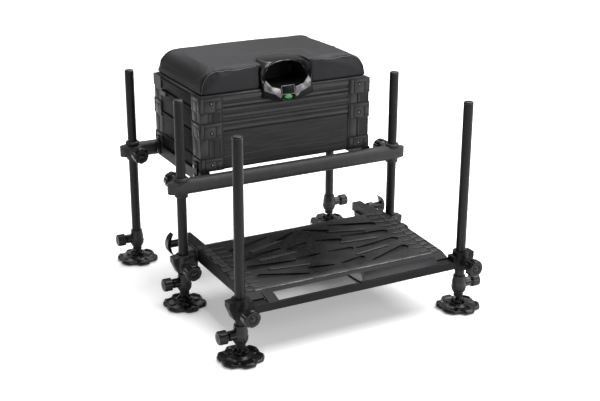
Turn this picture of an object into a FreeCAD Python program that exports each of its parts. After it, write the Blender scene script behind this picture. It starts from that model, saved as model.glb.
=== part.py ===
import FreeCAD, Part
import math
import os

from FreeCAD import Vector

# Fishing seat box on six telescopic legs, with a sliding footplate in front.
# Millimetres, +Z up, X across the seat, -Y to the front. The origin is on the ground
# in the middle of the footprint.

# Legs
leg_diameter = 25.0
leg_wall = 1.5
leg_side_gap = 66.0
plate_reach = 340.0
leg_height = 555.0
cap_height = 6.0
cap_plug_length = 14.0
sliding_clearance = 0.3

# Feet
foot_diameter = 115.0
foot_base_thickness = 6.0
foot_rim_height = 11.0
foot_rim_width = 11.0
foot_notches = 6
foot_notch_radius = 16.0
foot_notch_depth = 5.5
foot_rib_width = 4.0
foot_rib_height = 10.0
ball_diameter = 18.0
ball_height = 22.0
hub_diameter = 31.0
hub_above_ball = 5.0
hub_slot_width = 5.0

# Telescopic stems and leg collars
stem_travel = 160.0
stem_overlap = 66.0
stem_wall = 1.5
neck_diameter = 10.0
neck_top = 44.0
ribbed_neck_diameter = 25.0
ribbed_neck_height = 10.0
neck_grooves = 3
collar_gap = 2.0
collar_height = 46.0
collar_diameter = 37.0
collar_end_diameter = 31.0
collar_step = 10.0
collar_boss_diameter = 25.0
collar_boss_reach = 31.0
foot_knob_height = 68.0

# Knobs
foot_knob_diameter = 34.0
foot_knob_length = 27.0
clamp_knob_diameter = 44.0
clamp_knob_length = 28.0
knob_lobes = 8
stud_diameter = 8.0
knob_gap = 1.0
wing_span = 60.0
wing_width = 20.0
wing_thickness = 9.0
wing_neck_diameter = 20.0
wing_neck_length = 26.0
wing_bow = 8.0

# Frame rails
rail_height = 40.0
rail_depth = 34.0
rail_top = 348.0
rail_corner_radius = 14.0
rail_wall = 2.5
rail_casting_length = 64.0
rail_overhang = 36.0
rail_spigot_length = 20.0
rail_lower_boss = 6.0
rail_boss_diameter = 28.0
rail_boss_length = 24.0
side_rail_width = 26.0
side_rail_height = 30.0
side_rail_wall = 2.0
side_rail_inset = 8.0
bracket_size = 26.0
bracket_thickness = 3.0
bracket_rise = 24.0
bolt_diameter = 12.0
bolt_head = 3.0

# Box
box_width = 494.0
box_depth = 309.0
box_front_set_back = 22.0
box_rear_set_back = 15.0
base_tier_height = 101.5
mid_tier_height = 62.0
top_tier_height = 31.0
wall_thickness = 3.0
floor_thickness = 3.0
moulding_thickness = 2.5
moulding_front_width = 64.0
moulding_side_width = 54.0
moulding_groove_width = 6.0
moulding_groove_depth = 1.2
clip_thickness = 2.0
clip_inset = 3.0
panel_gap = 1.0
panel_thickness = 1.7
rib_pitch = 10.0
rib_groove = 3.0
rib_depth = 1.2
screw_diameter = 7.0
screw_head = 1.6
base_clip_height = 34.0
clip_above = 26.0
clip_below = 15.0
clip_drop = 9.0
lug_length = 34.0
lug_height = 12.0
lug_thickness = 7.0
hinge_offset = 4.0
knuckle_radius = 4.0
knuckle_length = 40.0
knuckle_gap = 0.5
knuckle_sets = 120.0
hinge_pin_radius = 2.0
hinge_leaf_thickness = 2.0
hinge_leaf_height = 18.0

# Seat
board_thickness = 3.0
board_inset = 4.0
cushion_height = 62.0
cushion_inset = 6.0
cushion_end_radius = 44.0
cushion_crown = 4.0
cushion_draft = 7.0
cushion_flare = 3.0
cushion_edge_radius = 8.0
cushion_clearance = 0.4

# Latch scoop
scoop_width = 148.0
scoop_lower_width = 48.0
scoop_front = 9.0
scoop_lean = 20.0
scoop_depth_on_top = 96.0
scoop_rise = 6.0
scoop_drop = 33.0
scoop_side_drop = 18.0
scoop_corner = 24.0
scoop_gap = 0.8
hand_width = 122.0
hand_height = 65.0
hand_rise = 3.5
hand_depth = 66.0
hand_taper = 0.8
lip_thickness = 2.0
lip_width = 138.0
lip_top_rise = 26.0
lip_drop = 24.0
housing_width = 40.0
button_width = 26.0
button_height = 12.0
button_depth = 4.0
button_proud = 2.5
button_drop = 21.5
button_travel = 3.0
button_gap = 0.4
stub_diameter = 6.0
stub_length = 3.0

# Footplate
arm_width = 27.0
arm_height = 24.0
arm_wall = 2.0
arm_inset = 49.5
arm_bottom = 134.0
arm_rear_reach = 100.0
arm_socket_depth = 78.0
carrier_bottom = 98.0
carrier_height = 47.0
carrier_wall = 9.0
carrier_front = 25.0
carrier_rear = 81.0
carrier_floor = 9.0
carrier_lip = 6.0
carrier_lip_height = 6.0
leg_boss_diameter = 41.0
knob_boss_diameter = 26.0
knob_boss_length = 22.0
carrier_knob_height = 116.0
jaw_reach = 33.0
jaw_depth = 26.0
jaw_drop = 18.0
tee_knob_setback = 68.0
tee_knob_height = 149.0
tee_boss_length = 10.0
plate_rear = 12.0
kick_run = 55.0
plate_rear_height = 164.0
plate_front_height = 150.0
plate_thickness = 5.0
plate_skirt = 16.0
side_rail_start = 29.0
plate_rail_width = 41.0
plate_rail_inset = 30.0
plate_rail_bottom = 128.0
plate_rail_wall = 4.0
beam_lead = 15.0
beam_depth = 28.0
beam_bottom = 118.0
beam_height = 19.0
beam_wall = 2.5
kick_thickness = 4.0
strip_thickness = 1.5
strip_gap = 26.0
strip_margin = 4.0
divider_width = 22.0
divider_thickness = 3.0
plate_clamp_bottom = 112.0
plate_clamp_height = 48.0
plate_knob_height = 134.0
tread_depth = 2.5
tread_slot_width = 9.0
tread_rows = 3
tread_columns = 4
tread_angle = 24.0
deck_ribs = 4
plug_depth = 10.0
plug_face = 2.0
kick_margin = 4.0

# Places that follow from the sizes above
half_width = box_width / 2
leg_x = half_width + leg_side_gap
frame_depth = box_front_set_back + box_depth + box_rear_set_back
rail_knob_seat = rail_depth / 2 + rail_boss_length + knob_gap
boss_knob_seat = leg_boss_diameter / 2 + knob_boss_length + knob_gap
front_reach = boss_knob_seat + clamp_knob_length
rear_y = (frame_depth + plate_reach + front_reach - foot_diameter / 2) / 2
seat_y = rear_y - frame_depth
plate_y = seat_y - plate_reach
side_rail_centre = half_width - side_rail_inset
arm_centre = leg_x - arm_inset
plate_rail_outer = leg_x - plate_rail_inset
beam_front = plate_reach + beam_lead
plate_front = beam_front - kick_run
strip_length = plate_rail_outer - plate_rail_width - strip_gap / 2 - strip_margin
leg_radius = leg_diameter / 2
bore_radius = leg_radius + sliding_clearance
leg_bore = leg_radius - leg_wall
stem_radius = leg_bore - sliding_clearance
collar_bottom = neck_top + collar_gap
leg_bottom = collar_bottom + collar_step
rail_middle = rail_top - rail_height / 2
box_bottom = rail_top
mid_bottom = box_bottom + base_tier_height
top_bottom = mid_bottom + mid_tier_height
box_top = top_bottom + top_tier_height
box_front = seat_y + box_front_set_back
box_rear = box_front + box_depth
hinge_y = box_rear + hinge_offset
stud_tip = leg_radius + sliding_clearance
tray_axis_z = top_bottom
lid_axis_z = box_top + board_thickness / 2
scoop_top = box_top + board_thickness + cushion_clearance + cushion_height + scoop_rise
scoop_bottom = box_top - scoop_drop
scoop_face = box_front - scoop_front
scoop_slope = scoop_lean / (scoop_top - scoop_bottom)
hand_bottom = box_top + hand_rise
button_middle = box_top - button_drop
button_front = scoop_face + scoop_slope * (button_middle - scoop_bottom) - button_proud
pocket_back = button_front + button_depth + button_travel + button_gap


def block(x0, x1, y0, y1, z0, z1):
    """Box between opposite corners."""
    return Part.makeBox(x1 - x0, y1 - y0, z1 - z0, Vector(x0, y0, z0))


def side_block(side, x0, x1, y0, y1, z0, z1):
    """Box on the left (side -1) or the right (side 1), given for the right."""
    if side > 0:
        return block(x0, x1, y0, y1, z0, z1)
    return block(-x1, -x0, y0, y1, z0, z1)


def rod(radius, start, end):
    """Round bar between two points."""
    axis = end.sub(start)
    return Part.makeCylinder(radius, axis.Length, start, axis)


def fuse(shapes):
    """Union with the leftover seams removed."""
    result = shapes[0]
    for shape in shapes[1:]:
        result = result.fuse(shape)
    return result.removeSplitter()


def cut(shape, tools):
    """Shape less each tool."""
    for tool in tools:
        shape = shape.cut(tool)
    return shape


def prism(points, direction):
    """Solid between a closed outline and its copy moved along a direction."""
    wire = Part.makePolygon(points + [points[0]])
    return Part.Face(wire).extrude(direction)


def round_along(shape, axis, radius):
    """Fillet the straight edges that run along an axis."""
    edges = []
    for edge in shape.Edges:
        if isinstance(edge.Curve, Part.Line) and abs(edge.Curve.Direction.dot(axis)) > 0.999:
            edges.append(edge)
    return shape.makeFillet(radius, edges)


def save(name, solids):
    """Write one node, each of its pieces as a separate solid."""
    pieces = []
    for shape in solids:
        pieces.extend(shape.Solids)
    node = Part.makeCompound(pieces) if len(pieces) > 1 else pieces[0]
    node.exportStep(os.path.join("parts", name + ".step"))
    print(name, len(pieces), "solids", round(node.Volume / 1000.0, 1), "cm3", node.isValid())


def turned(shape, direction, place):
    """Carry a shape built along +Z so that it points along a direction from a place."""
    turn = FreeCAD.Rotation(Vector(0, 0, 1), direction)
    result = shape.copy()
    result.Placement = FreeCAD.Placement(place, turn)
    return result


def lobed_knob(diameter, length, stud_length):
    """Fluted hand knob on a threaded stud, its back on the origin plane."""
    radius = diameter / 2
    neck_length = length * 0.2
    neck = Part.makeCone(radius * 0.65, radius * 0.85, neck_length)
    head = Part.makeCylinder(radius, length - neck_length, Vector(0, 0, neck_length))
    head = head.makeFillet(radius * 0.28, [head.Edges[0]])
    flute_radius = radius * 0.24
    reach = 1.11 * radius
    flutes = []
    for i in range(knob_lobes):
        angle = 2 * math.pi * (i + 0.5) / knob_lobes
        centre = Vector(reach * math.cos(angle), reach * math.sin(angle), 0)
        flutes.append(Part.makeCylinder(flute_radius, length, centre))
    dish = Part.makeCylinder(radius * 0.5, length * 0.08, Vector(0, 0, length * 0.92))
    stud = Part.makeCylinder(stud_diameter / 2, stud_length, Vector(0, 0, -stud_length))
    return fuse([cut(fuse([neck, head]), flutes + [dish]), stud])


def wing_knob(stud_length):
    """Tee knob with a bowed wing on a round neck, its back on the origin plane."""
    neck = Part.makeCylinder(wing_neck_diameter / 2, wing_neck_length)
    half = wing_span / 2
    base = wing_neck_length
    start = Vector(-half, 0, base - wing_bow)
    tip = Vector(-half + 2, 0, base - wing_bow + wing_thickness * 0.4)
    outer = Part.Arc(tip, Vector(0, 0, base + wing_thickness), Vector(half - 2, 0, tip.z)).toShape()
    inner = Part.Arc(Vector(half, 0, start.z), Vector(0, 0, base), start).toShape()
    right = Part.makeLine(Vector(half - 2, 0, tip.z), Vector(half, 0, start.z))
    left = Part.makeLine(start, tip)
    face = Part.Face(Part.Wire([outer, right, inner, left]))
    face.translate(Vector(0, -wing_width / 2, 0))
    wing = face.extrude(Vector(0, wing_width, 0))
    stud = Part.makeCylinder(stud_diameter / 2, stud_length, Vector(0, 0, -stud_length))
    return fuse([neck, wing, stud])


def foot(x, y):
    """Round mud foot with a raised rim, ribs and a slotted ball socket."""
    radius = foot_diameter / 2
    dish = Part.makeCylinder(radius, foot_rim_height)
    dish = dish.makeFillet(foot_rim_height * 0.4, [dish.Edges[0]])
    inner = Part.makeCone(radius - foot_rim_width * 1.3, radius - foot_rim_width * 0.7,
                          foot_rim_height, Vector(0, 0, foot_base_thickness))
    dish = dish.cut(inner)
    notches = []
    for i in range(foot_notches):
        angle = 2 * math.pi * i / foot_notches
        reach = radius + foot_notch_radius - foot_notch_depth
        centre = Vector(reach * math.cos(angle), reach * math.sin(angle), 0)
        notches.append(Part.makeCylinder(foot_notch_radius, foot_rim_height, centre))
    dish = cut(dish, notches)
    ribs = []
    for i in range(foot_notches):
        rib = block(hub_diameter * 0.4, radius - foot_rim_width, -foot_rib_width / 2,
                    foot_rib_width / 2, foot_base_thickness * 0.5, foot_rib_height)
        rib.rotate(Vector(0, 0, 0), Vector(0, 0, 1), 360.0 * (i + 0.5) / foot_notches)
        ribs.append(rib)
    hub = Part.makeCylinder(hub_diameter / 2, ball_height + hub_above_ball)
    skirt = Part.makeCone(hub_diameter * 0.75, hub_diameter / 2, ball_height * 0.5)
    body = fuse([dish, hub, skirt] + ribs)
    socket = Part.makeSphere(ball_diameter / 2 + sliding_clearance, Vector(0, 0, ball_height))
    mouth = Part.makeCone(ball_diameter * 0.42, ball_diameter * 0.42 + 2 * hub_above_ball,
                          2 * hub_above_ball, Vector(0, 0, ball_height + 1.0))
    slots = []
    for angle in (45.0, 135.0):
        slot = block(-hub_diameter, hub_diameter, -hub_slot_width / 2, hub_slot_width / 2,
                     ball_height - 2.0, ball_height + hub_above_ball + 1.0)
        slot.rotate(Vector(0, 0, 0), Vector(0, 0, 1), angle)
        slots.append(slot)
    body = cut(body, [socket, mouth] + slots)
    body.translate(Vector(x, y, 0))
    return body


def stem(x, y):
    """Inner telescopic tube with a ribbed neck and the ball that the foot turns on."""
    top = collar_bottom + stem_overlap + stem_travel
    tube = Part.makeCylinder(stem_radius, top - neck_top, Vector(0, 0, neck_top))
    bore = Part.makeCylinder(stem_radius - stem_wall, top, Vector(0, 0, neck_top + collar_gap))
    collar = Part.makeCylinder(ribbed_neck_diameter / 2, ribbed_neck_height,
                               Vector(0, 0, neck_top - ribbed_neck_height))
    neck = Part.makeCylinder(neck_diameter / 2, neck_top - ball_height, Vector(0, 0, ball_height))
    ball = Part.makeSphere(ball_diameter / 2, Vector(0, 0, ball_height))
    pitch = ribbed_neck_height / (neck_grooves + 1)
    grooves = []
    for i in range(neck_grooves):
        height = neck_top - ribbed_neck_height + pitch * (i + 1)
        ring = Part.makeCylinder(ribbed_neck_diameter, pitch * 0.4, Vector(0, 0, height - pitch * 0.2))
        core = Part.makeCylinder(ribbed_neck_diameter / 2 - 1.0, pitch, Vector(0, 0, height - pitch / 2))
        grooves.append(ring.cut(core))
    body = cut(fuse([tube, collar, neck, ball]), [bore] + grooves)
    body.translate(Vector(x, y, 0))
    return body


def leg(x, y):
    """Outer tube, its top cap and the locking collar at its lower end."""
    outward = math.copysign(1.0, x)
    tube_top = leg_height - cap_height
    tube = Part.makeCylinder(leg_radius, tube_top - leg_bottom, Vector(0, 0, leg_bottom))
    tube = tube.cut(Part.makeCylinder(leg_bore, tube_top, Vector(0, 0, leg_bottom)))
    cap = Part.makeCylinder(leg_radius, cap_height, Vector(0, 0, tube_top))
    cap = cap.makeFillet(cap_height * 0.6, [cap.Edges[0]])
    plug = Part.makeCylinder(leg_bore, cap_plug_length, Vector(0, 0, tube_top - cap_plug_length))
    cap = fuse([cap, plug])
    middle = foot_knob_height
    top = collar_bottom + collar_height
    lower = Part.makeCone(collar_end_diameter / 2, collar_diameter / 2, middle - 6.0 - collar_bottom,
                          Vector(0, 0, collar_bottom))
    waist = Part.makeCylinder(collar_diameter / 2, 12.0, Vector(0, 0, middle - 6.0))
    upper = Part.makeCone(collar_diameter / 2, collar_end_diameter / 2, top - middle - 6.0,
                          Vector(0, 0, middle + 6.0))
    boss = rod(collar_boss_diameter / 2, Vector(0, 0, middle),
               Vector(outward * collar_boss_reach, 0, middle))
    seat = Part.makeCylinder(leg_radius, collar_height, Vector(0, 0, leg_bottom))
    throat = Part.makeCylinder(leg_bore, collar_height, Vector(0, 0, collar_bottom))
    stud_hole = rod(stud_diameter / 2 + sliding_clearance, Vector(0, 0, middle),
                    Vector(outward * 2 * collar_boss_reach, 0, middle))
    collar = cut(fuse([lower, waist, upper, boss]), [seat, throat, stud_hole])
    pieces = [tube.cut(stud_hole), cap, collar]
    for piece in pieces:
        piece.translate(Vector(x, y, 0))
    return pieces


def foot_knob(x, y):
    """Knob that locks the telescopic stem, on the outer side of the leg."""
    outward = math.copysign(1.0, x)
    seat = collar_boss_reach + knob_gap
    knob = lobed_knob(foot_knob_diameter, foot_knob_length, seat - stem_radius - sliding_clearance)
    return turned(knob, Vector(outward, 0, 0), Vector(x + outward * seat, y, foot_knob_height))


def rail_profile(x0, x1, y, inset):
    """Length of the oval rail section, or of its bore when inset."""
    bar = block(x0, x1, y - rail_depth / 2 + inset, y + rail_depth / 2 - inset,
                rail_top - rail_height + inset, rail_top - inset)
    return round_along(bar, Vector(1, 0, 0), rail_corner_radius - inset)


def rail(y, knob_side):
    """Cross rail: an oval tube with a cast leg clamp plugged into each end."""
    end = leg_x + rail_overhang
    joint = end - rail_casting_length
    tube = rail_profile(-joint, joint, y, 0).cut(rail_profile(-joint, joint, y, rail_wall))
    pieces = [tube]
    for side in (-1, 1):
        inner, outer = sorted((side * joint, side * end))
        casting = rail_profile(inner, outer, y, 0)
        nose_radius = rail_depth / 2
        nose = Part.makeCylinder(nose_radius, rail_height, Vector(side * (end - nose_radius), y,
                                                                   rail_top - rail_height))
        start, stop = sorted((side * joint, side * (end - nose_radius)))
        plan = fuse([nose, block(start, stop, y - nose_radius, y + nose_radius,
                                 rail_top - rail_height, rail_top)])
        casting = casting.common(plan)
        low, high = sorted((side * joint, side * (joint - rail_spigot_length)))
        spigot = rail_profile(low, high, y, rail_wall)
        lower_boss = Part.makeCylinder(rail_depth / 2, rail_lower_boss + rail_corner_radius,
                                       Vector(side * leg_x, y, rail_top - rail_height - rail_lower_boss))
        boss_end = y + knob_side * (rail_depth / 2 + rail_boss_length)
        boss = rod(rail_boss_diameter / 2, Vector(side * leg_x, y, rail_middle),
                   Vector(side * leg_x, boss_end, rail_middle))
        leg_hole = Part.makeCylinder(bore_radius, rail_height * 2,
                                     Vector(side * leg_x, y, rail_top - rail_height * 1.5))
        stud_hole = rod(stud_diameter / 2 + sliding_clearance, Vector(side * leg_x, y, rail_middle),
                        Vector(side * leg_x, boss_end + knob_side * 2, rail_middle))
        pieces.append(cut(fuse([casting, spigot, lower_boss, boss]), [leg_hole, stud_hole]))
    return pieces


def clamp_knob(x, y, z, direction, seat):
    """Clamp knob whose stud presses on a leg, its back a given distance from the leg axis."""
    knob = lobed_knob(clamp_knob_diameter, clamp_knob_length, seat - stud_tip)
    return turned(knob, Vector(0, direction, 0), Vector(x, y + direction * seat, z))


def side_rails():
    """Two square tubes under the box and the four brackets that hold it to them."""
    front = seat_y + rail_depth / 2
    rear = rear_y - rail_depth / 2
    bottom = rail_top - side_rail_height
    pieces = []
    for side in (-1, 1):
        inner = side_rail_centre - side_rail_width / 2
        outer = side_rail_centre + side_rail_width / 2
        tube = side_block(side, inner, outer, front, rear, bottom, rail_top)
        bore = side_block(side, inner + side_rail_wall, outer - side_rail_wall, front, rear,
                          bottom + side_rail_wall, rail_top - side_rail_wall)
        pieces.append(tube.cut(bore))
        for y in (box_front + bracket_size, box_rear - bracket_size):
            foot_plate = side_block(side, outer, outer + bracket_thickness, y - bracket_size / 2,
                                    y + bracket_size / 2, bottom + 4.0, rail_top + bracket_rise)
            pieces.append(round_along(foot_plate, Vector(1, 0, 0), bracket_thickness))
    return pieces


def frame_bolts():
    """Domed bolts through the brackets, four on each side."""
    face = side_rail_centre + side_rail_width / 2 + bracket_thickness
    bolts = []
    for side in (-1, 1):
        for y in (box_front + bracket_size, box_rear - bracket_size):
            for z in (rail_top - side_rail_height / 2, rail_top + bracket_rise / 2):
                bolt = Part.makeCylinder(bolt_diameter / 2, bolt_head)
                bolt = bolt.makeFillet(bolt_head * 0.5, [bolt.Edges[0]])
                bolts.append(turned(bolt, Vector(side, 0, 0), Vector(side * face, y, z)))
    return bolts


def tier(bottom, height, floor, ribbed):
    """One tier of the box with a raised panel on each side, grooved where it is ribbed."""
    skin = moulding_thickness
    outer = block(-half_width + skin, half_width - skin, box_front + skin, box_rear - skin,
                  bottom, bottom + height)
    inside = block(-half_width + skin + wall_thickness, half_width - skin - wall_thickness,
                   box_front + skin + wall_thickness, box_rear - skin - wall_thickness,
                   bottom + floor, bottom + height)
    panel_x = half_width - moulding_front_width - panel_gap
    panel_front = box_front + moulding_side_width + panel_gap
    panel_rear = box_rear - moulding_side_width - panel_gap
    proud = skin - panel_thickness
    low = bottom + panel_gap
    high = bottom + height - panel_gap
    long_panel = block(-panel_x, panel_x, box_front + proud, box_rear - proud, low, high)
    end_panel = block(-half_width + proud, half_width - proud, panel_front, panel_rear, low, high)
    body = fuse([outer, long_panel, end_panel])
    count = int((high - low) // rib_pitch) if ribbed else 1
    margin = (high - low - (count - 1) * rib_pitch) / 2 if ribbed else rib_pitch * 2.2
    grooves = []
    for i in range(count):
        z = low + margin + i * rib_pitch
        band = block(-half_width, half_width, box_front, box_rear, z - rib_groove / 2, z + rib_groove / 2)
        core = block(-half_width + proud + rib_depth, half_width - proud - rib_depth,
                     box_front + proud + rib_depth, box_rear - proud - rib_depth,
                     z - rib_groove, z + rib_groove)
        grooves.append(band.cut(core))
    return cut(body, [inside] + grooves)


def corner_mouldings(bottom, height, clip_low, clip_high, rear_clip_low):
    """Four corner mouldings of one tier, each with a thicker clip across its seam."""
    pieces = []
    skin = moulding_thickness
    for side in (-1, 1):
        for end in (-1, 1):
            face = box_front if end < 0 else box_rear
            inward = -end
            near, far = sorted((face, face + inward * skin))
            front_plate = side_block(side, half_width - moulding_front_width, half_width,
                                     near, far, bottom, bottom + height)
            near, far = sorted((face, face + inward * moulding_side_width))
            side_plate = side_block(side, half_width - skin, half_width, near, far,
                                    bottom, bottom + height)
            groove_x = half_width - moulding_front_width * 0.6
            near, far = sorted((face, face + inward * moulding_groove_depth))
            groove = side_block(side, groove_x, groove_x + moulding_groove_width, near, far,
                                bottom, bottom + height)
            low = clip_low if end < 0 else rear_clip_low
            near, far = sorted((face - inward * clip_thickness, face))
            front_clip = side_block(side, half_width - moulding_front_width + clip_inset,
                                    half_width + clip_thickness, near, far, low, clip_high)
            near, far = sorted((face - inward * clip_thickness,
                                face + inward * (moulding_side_width - clip_inset)))
            side_clip = side_block(side, half_width, half_width + clip_thickness, near, far,
                                   low, clip_high)
            pieces.append(fuse([front_plate.cut(groove), side_plate, front_clip, side_clip]))
    return pieces


def corner_screws(heights):
    """Screw heads on the clips, front and rear, at each given height."""
    screws = []
    for side in (-1, 1):
        for end in (-1, 1):
            face = (box_front - clip_thickness) if end < 0 else (box_rear + clip_thickness)
            for z in heights:
                head = Part.makeCylinder(screw_diameter / 2, screw_head)
                x = side * (half_width - moulding_front_width / 2)
                screws.append(turned(head, Vector(0, end, 0), Vector(x, face, z)))
    return screws


def side_lugs():
    """Hooked lug on each end of the middle tier, near the rear corner."""
    lugs = []
    rear = box_rear - moulding_side_width - clip_inset
    top = top_bottom - clip_inset
    for side in (-1, 1):
        proud = half_width - moulding_thickness + panel_thickness
        pad = side_block(side, proud, proud + lug_thickness, rear - lug_length, rear,
                         top - lug_height, top)
        pad = round_along(pad, Vector(1, 0, 0), lug_height * 0.35)
        hook = side_block(side, proud, proud + lug_thickness * 0.5, rear - lug_length * 0.75,
                          rear - lug_length * 0.25, top - lug_height, top - lug_height * 0.5)
        lugs.append(pad.cut(hook))
    return lugs


def knuckles(axis_z, offset):
    """Hinge barrels along the rear edge, every second one of a set."""
    barrels = []
    for side in (-1, 1):
        start = side * knuckle_sets + offset - knuckle_length / 2
        stop = start + knuckle_length - knuckle_gap
        barrels.append((start, stop, rod(knuckle_radius, Vector(start, hinge_y, axis_z),
                                         Vector(stop, hinge_y, axis_z))))
    return barrels


def lower_leaves(axis_z):
    """Fixed hinge leaves that hang down the rear wall, with their barrels."""
    pieces = []
    rear = box_rear - moulding_thickness + panel_thickness
    for start, stop, barrel in knuckles(axis_z, -knuckle_length / 2):
        leaf = block(start, stop, rear, hinge_y, axis_z - hinge_leaf_height, axis_z - 1.0)
        leaf = leaf.cut(block(start, stop, rear + hinge_leaf_thickness, hinge_y + knuckle_radius,
                              axis_z - 2 * hinge_leaf_height, axis_z - knuckle_radius))
        pieces.append(fuse([leaf, barrel]).cut(pin_hole(axis_z)))
    return pieces


def upper_leaves(axis_z, plate_low, plate_high, reach):
    """Moving hinge leaves that reach back from a plate, with their barrels."""
    pieces = []
    for start, stop, barrel in knuckles(axis_z, knuckle_length / 2):
        leaf = block(start + knuckle_gap, stop, reach, hinge_y, plate_low, plate_high)
        pieces.append(fuse([leaf, barrel]).cut(pin_hole(axis_z)))
    return pieces


def pin_hole(axis_z):
    """Bore through the hinge barrels."""
    reach = knuckle_sets + 2 * knuckle_length
    return rod(hinge_pin_radius + sliding_clearance, Vector(-reach, hinge_y, axis_z),
               Vector(reach, hinge_y, axis_z))


def hinge_pins(axis_z):
    """One pin through each pair of barrels."""
    pins = []
    for side in (-1, 1):
        start = side * knuckle_sets - knuckle_length
        pins.append(rod(hinge_pin_radius, Vector(start, hinge_y, axis_z),
                        Vector(start + 2 * knuckle_length, hinge_y, axis_z)))
    return pins


def lid_board():
    """Board under the cushion, with the moving half of the lid hinge."""
    plate = block(-half_width + board_inset, half_width - board_inset, box_front + board_inset,
                  box_rear - board_inset, box_top, box_top + board_thickness)
    plate = round_along(plate, Vector(0, 0, 1), board_inset)
    leaves = upper_leaves(lid_axis_z, box_top, box_top + board_thickness, box_rear - 2 * board_inset)
    return fuse([plate] + leaves)


def cushion():
    """Crowned seat cushion with rounded ends and drafted faces, notched for the scoop."""
    low = box_top + board_thickness + cushion_clearance
    shoulder = low + cushion_height - cushion_end_radius
    top = low + cushion_height
    base = half_width - cushion_inset
    side = base - cushion_flare
    flat = side - cushion_end_radius
    lean = cushion_end_radius * math.sqrt(0.5)
    front = box_front + cushion_inset
    rear = box_rear - cushion_inset
    edges = [
        Part.makeLine(Vector(-base, front, low), Vector(base, front, low)),
        Part.makeLine(Vector(base, front, low), Vector(side, front, shoulder)),
        Part.Arc(Vector(side, front, shoulder), Vector(flat + lean, front, shoulder + lean),
                 Vector(flat, front, top)).toShape(),
        Part.Arc(Vector(flat, front, top), Vector(0, front, top + cushion_crown),
                 Vector(-flat, front, top)).toShape(),
        Part.Arc(Vector(-flat, front, top), Vector(-flat - lean, front, shoulder + lean),
                 Vector(-side, front, shoulder)).toShape(),
        Part.makeLine(Vector(-side, front, shoulder), Vector(-base, front, low)),
    ]
    across = Part.Face(Part.Wire(edges)).extrude(Vector(0, rear - front, 0))
    start = top + cushion_crown - cushion_edge_radius
    bend = cushion_edge_radius * (1 - math.sqrt(0.5))
    roof = top + cushion_crown
    near = front + cushion_draft
    far = rear - cushion_draft
    x = -half_width
    edges = [
        Part.makeLine(Vector(x, rear, low), Vector(x, front, low)),
        Part.makeLine(Vector(x, front, low), Vector(x, near, start)),
        Part.Arc(Vector(x, near, start), Vector(x, near + bend, roof - bend),
                 Vector(x, near + cushion_edge_radius, roof)).toShape(),
        Part.makeLine(Vector(x, near + cushion_edge_radius, roof),
                      Vector(x, far - cushion_edge_radius, roof)),
        Part.Arc(Vector(x, far - cushion_edge_radius, roof), Vector(x, far - bend, roof - bend),
                 Vector(x, far, start)).toShape(),
        Part.makeLine(Vector(x, far, start), Vector(x, rear, low)),
    ]
    along = Part.Face(Part.Wire(edges)).extrude(Vector(box_width, 0, 0))
    return across.common(along).cut(scoop_form(cushion_clearance))


def scoop_form(grow):
    """Outer form of the latch scoop: an arch in plan, with a shallow point at the bottom."""
    wide = scoop_width / 2 + grow
    narrow = scoop_lower_width / 2 + grow
    waist = box_top - scoop_side_drop
    roof = scoop_top + grow
    radius = scoop_corner + grow
    lean = radius * (1 - math.sqrt(0.5))
    y = scoop_face
    edges = [
        Part.makeLine(Vector(-narrow, y, scoop_bottom), Vector(narrow, y, scoop_bottom)),
        Part.makeLine(Vector(narrow, y, scoop_bottom), Vector(wide, y, waist)),
        Part.makeLine(Vector(wide, y, waist), Vector(wide, y, roof - radius)),
        Part.Arc(Vector(wide, y, roof - radius), Vector(wide - lean, y, roof - lean),
                 Vector(wide - radius, y, roof)).toShape(),
        Part.makeLine(Vector(wide - radius, y, roof), Vector(radius - wide, y, roof)),
        Part.Arc(Vector(radius - wide, y, roof), Vector(lean - wide, y, roof - lean),
                 Vector(-wide, y, roof - radius)).toShape(),
        Part.makeLine(Vector(-wide, y, roof - radius), Vector(-wide, y, waist)),
        Part.makeLine(Vector(-wide, y, waist), Vector(-narrow, y, scoop_bottom)),
    ]
    reach = scoop_front + scoop_depth_on_top + grow
    across = Part.Face(Part.Wire(edges)).extrude(Vector(0, reach, 0))
    start = box_front + cushion_inset
    tip = box_front + scoop_depth_on_top + grow
    arch = Part.Ellipse(Vector(0, tip, scoop_bottom), Vector(wide, start, scoop_bottom),
                        Vector(0, start, scoop_bottom)).toShape()
    plan = Part.Face(Part.Wire([arch])).extrude(Vector(0, 0, roof - scoop_bottom + 1))
    ahead = block(-wide, wide, scoop_face, start, scoop_bottom, roof + 1)
    return across.common(fuse([plan, ahead]))


def scoop_outline(points, share, y):
    """Closed smooth outline through mirrored points, shrunk about its middle, at a place along Y."""
    middle = hand_bottom + hand_height / 2
    loop = points + [(-x, z) for x, z in reversed(points[1:-1])]
    places = [Vector(x * share, y, middle + (z - middle) * share) for x, z in loop]
    curve = Part.BSplineCurve()
    curve.interpolate(places, PeriodicFlag=True)
    return Part.Wire([curve.toShape()])


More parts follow.
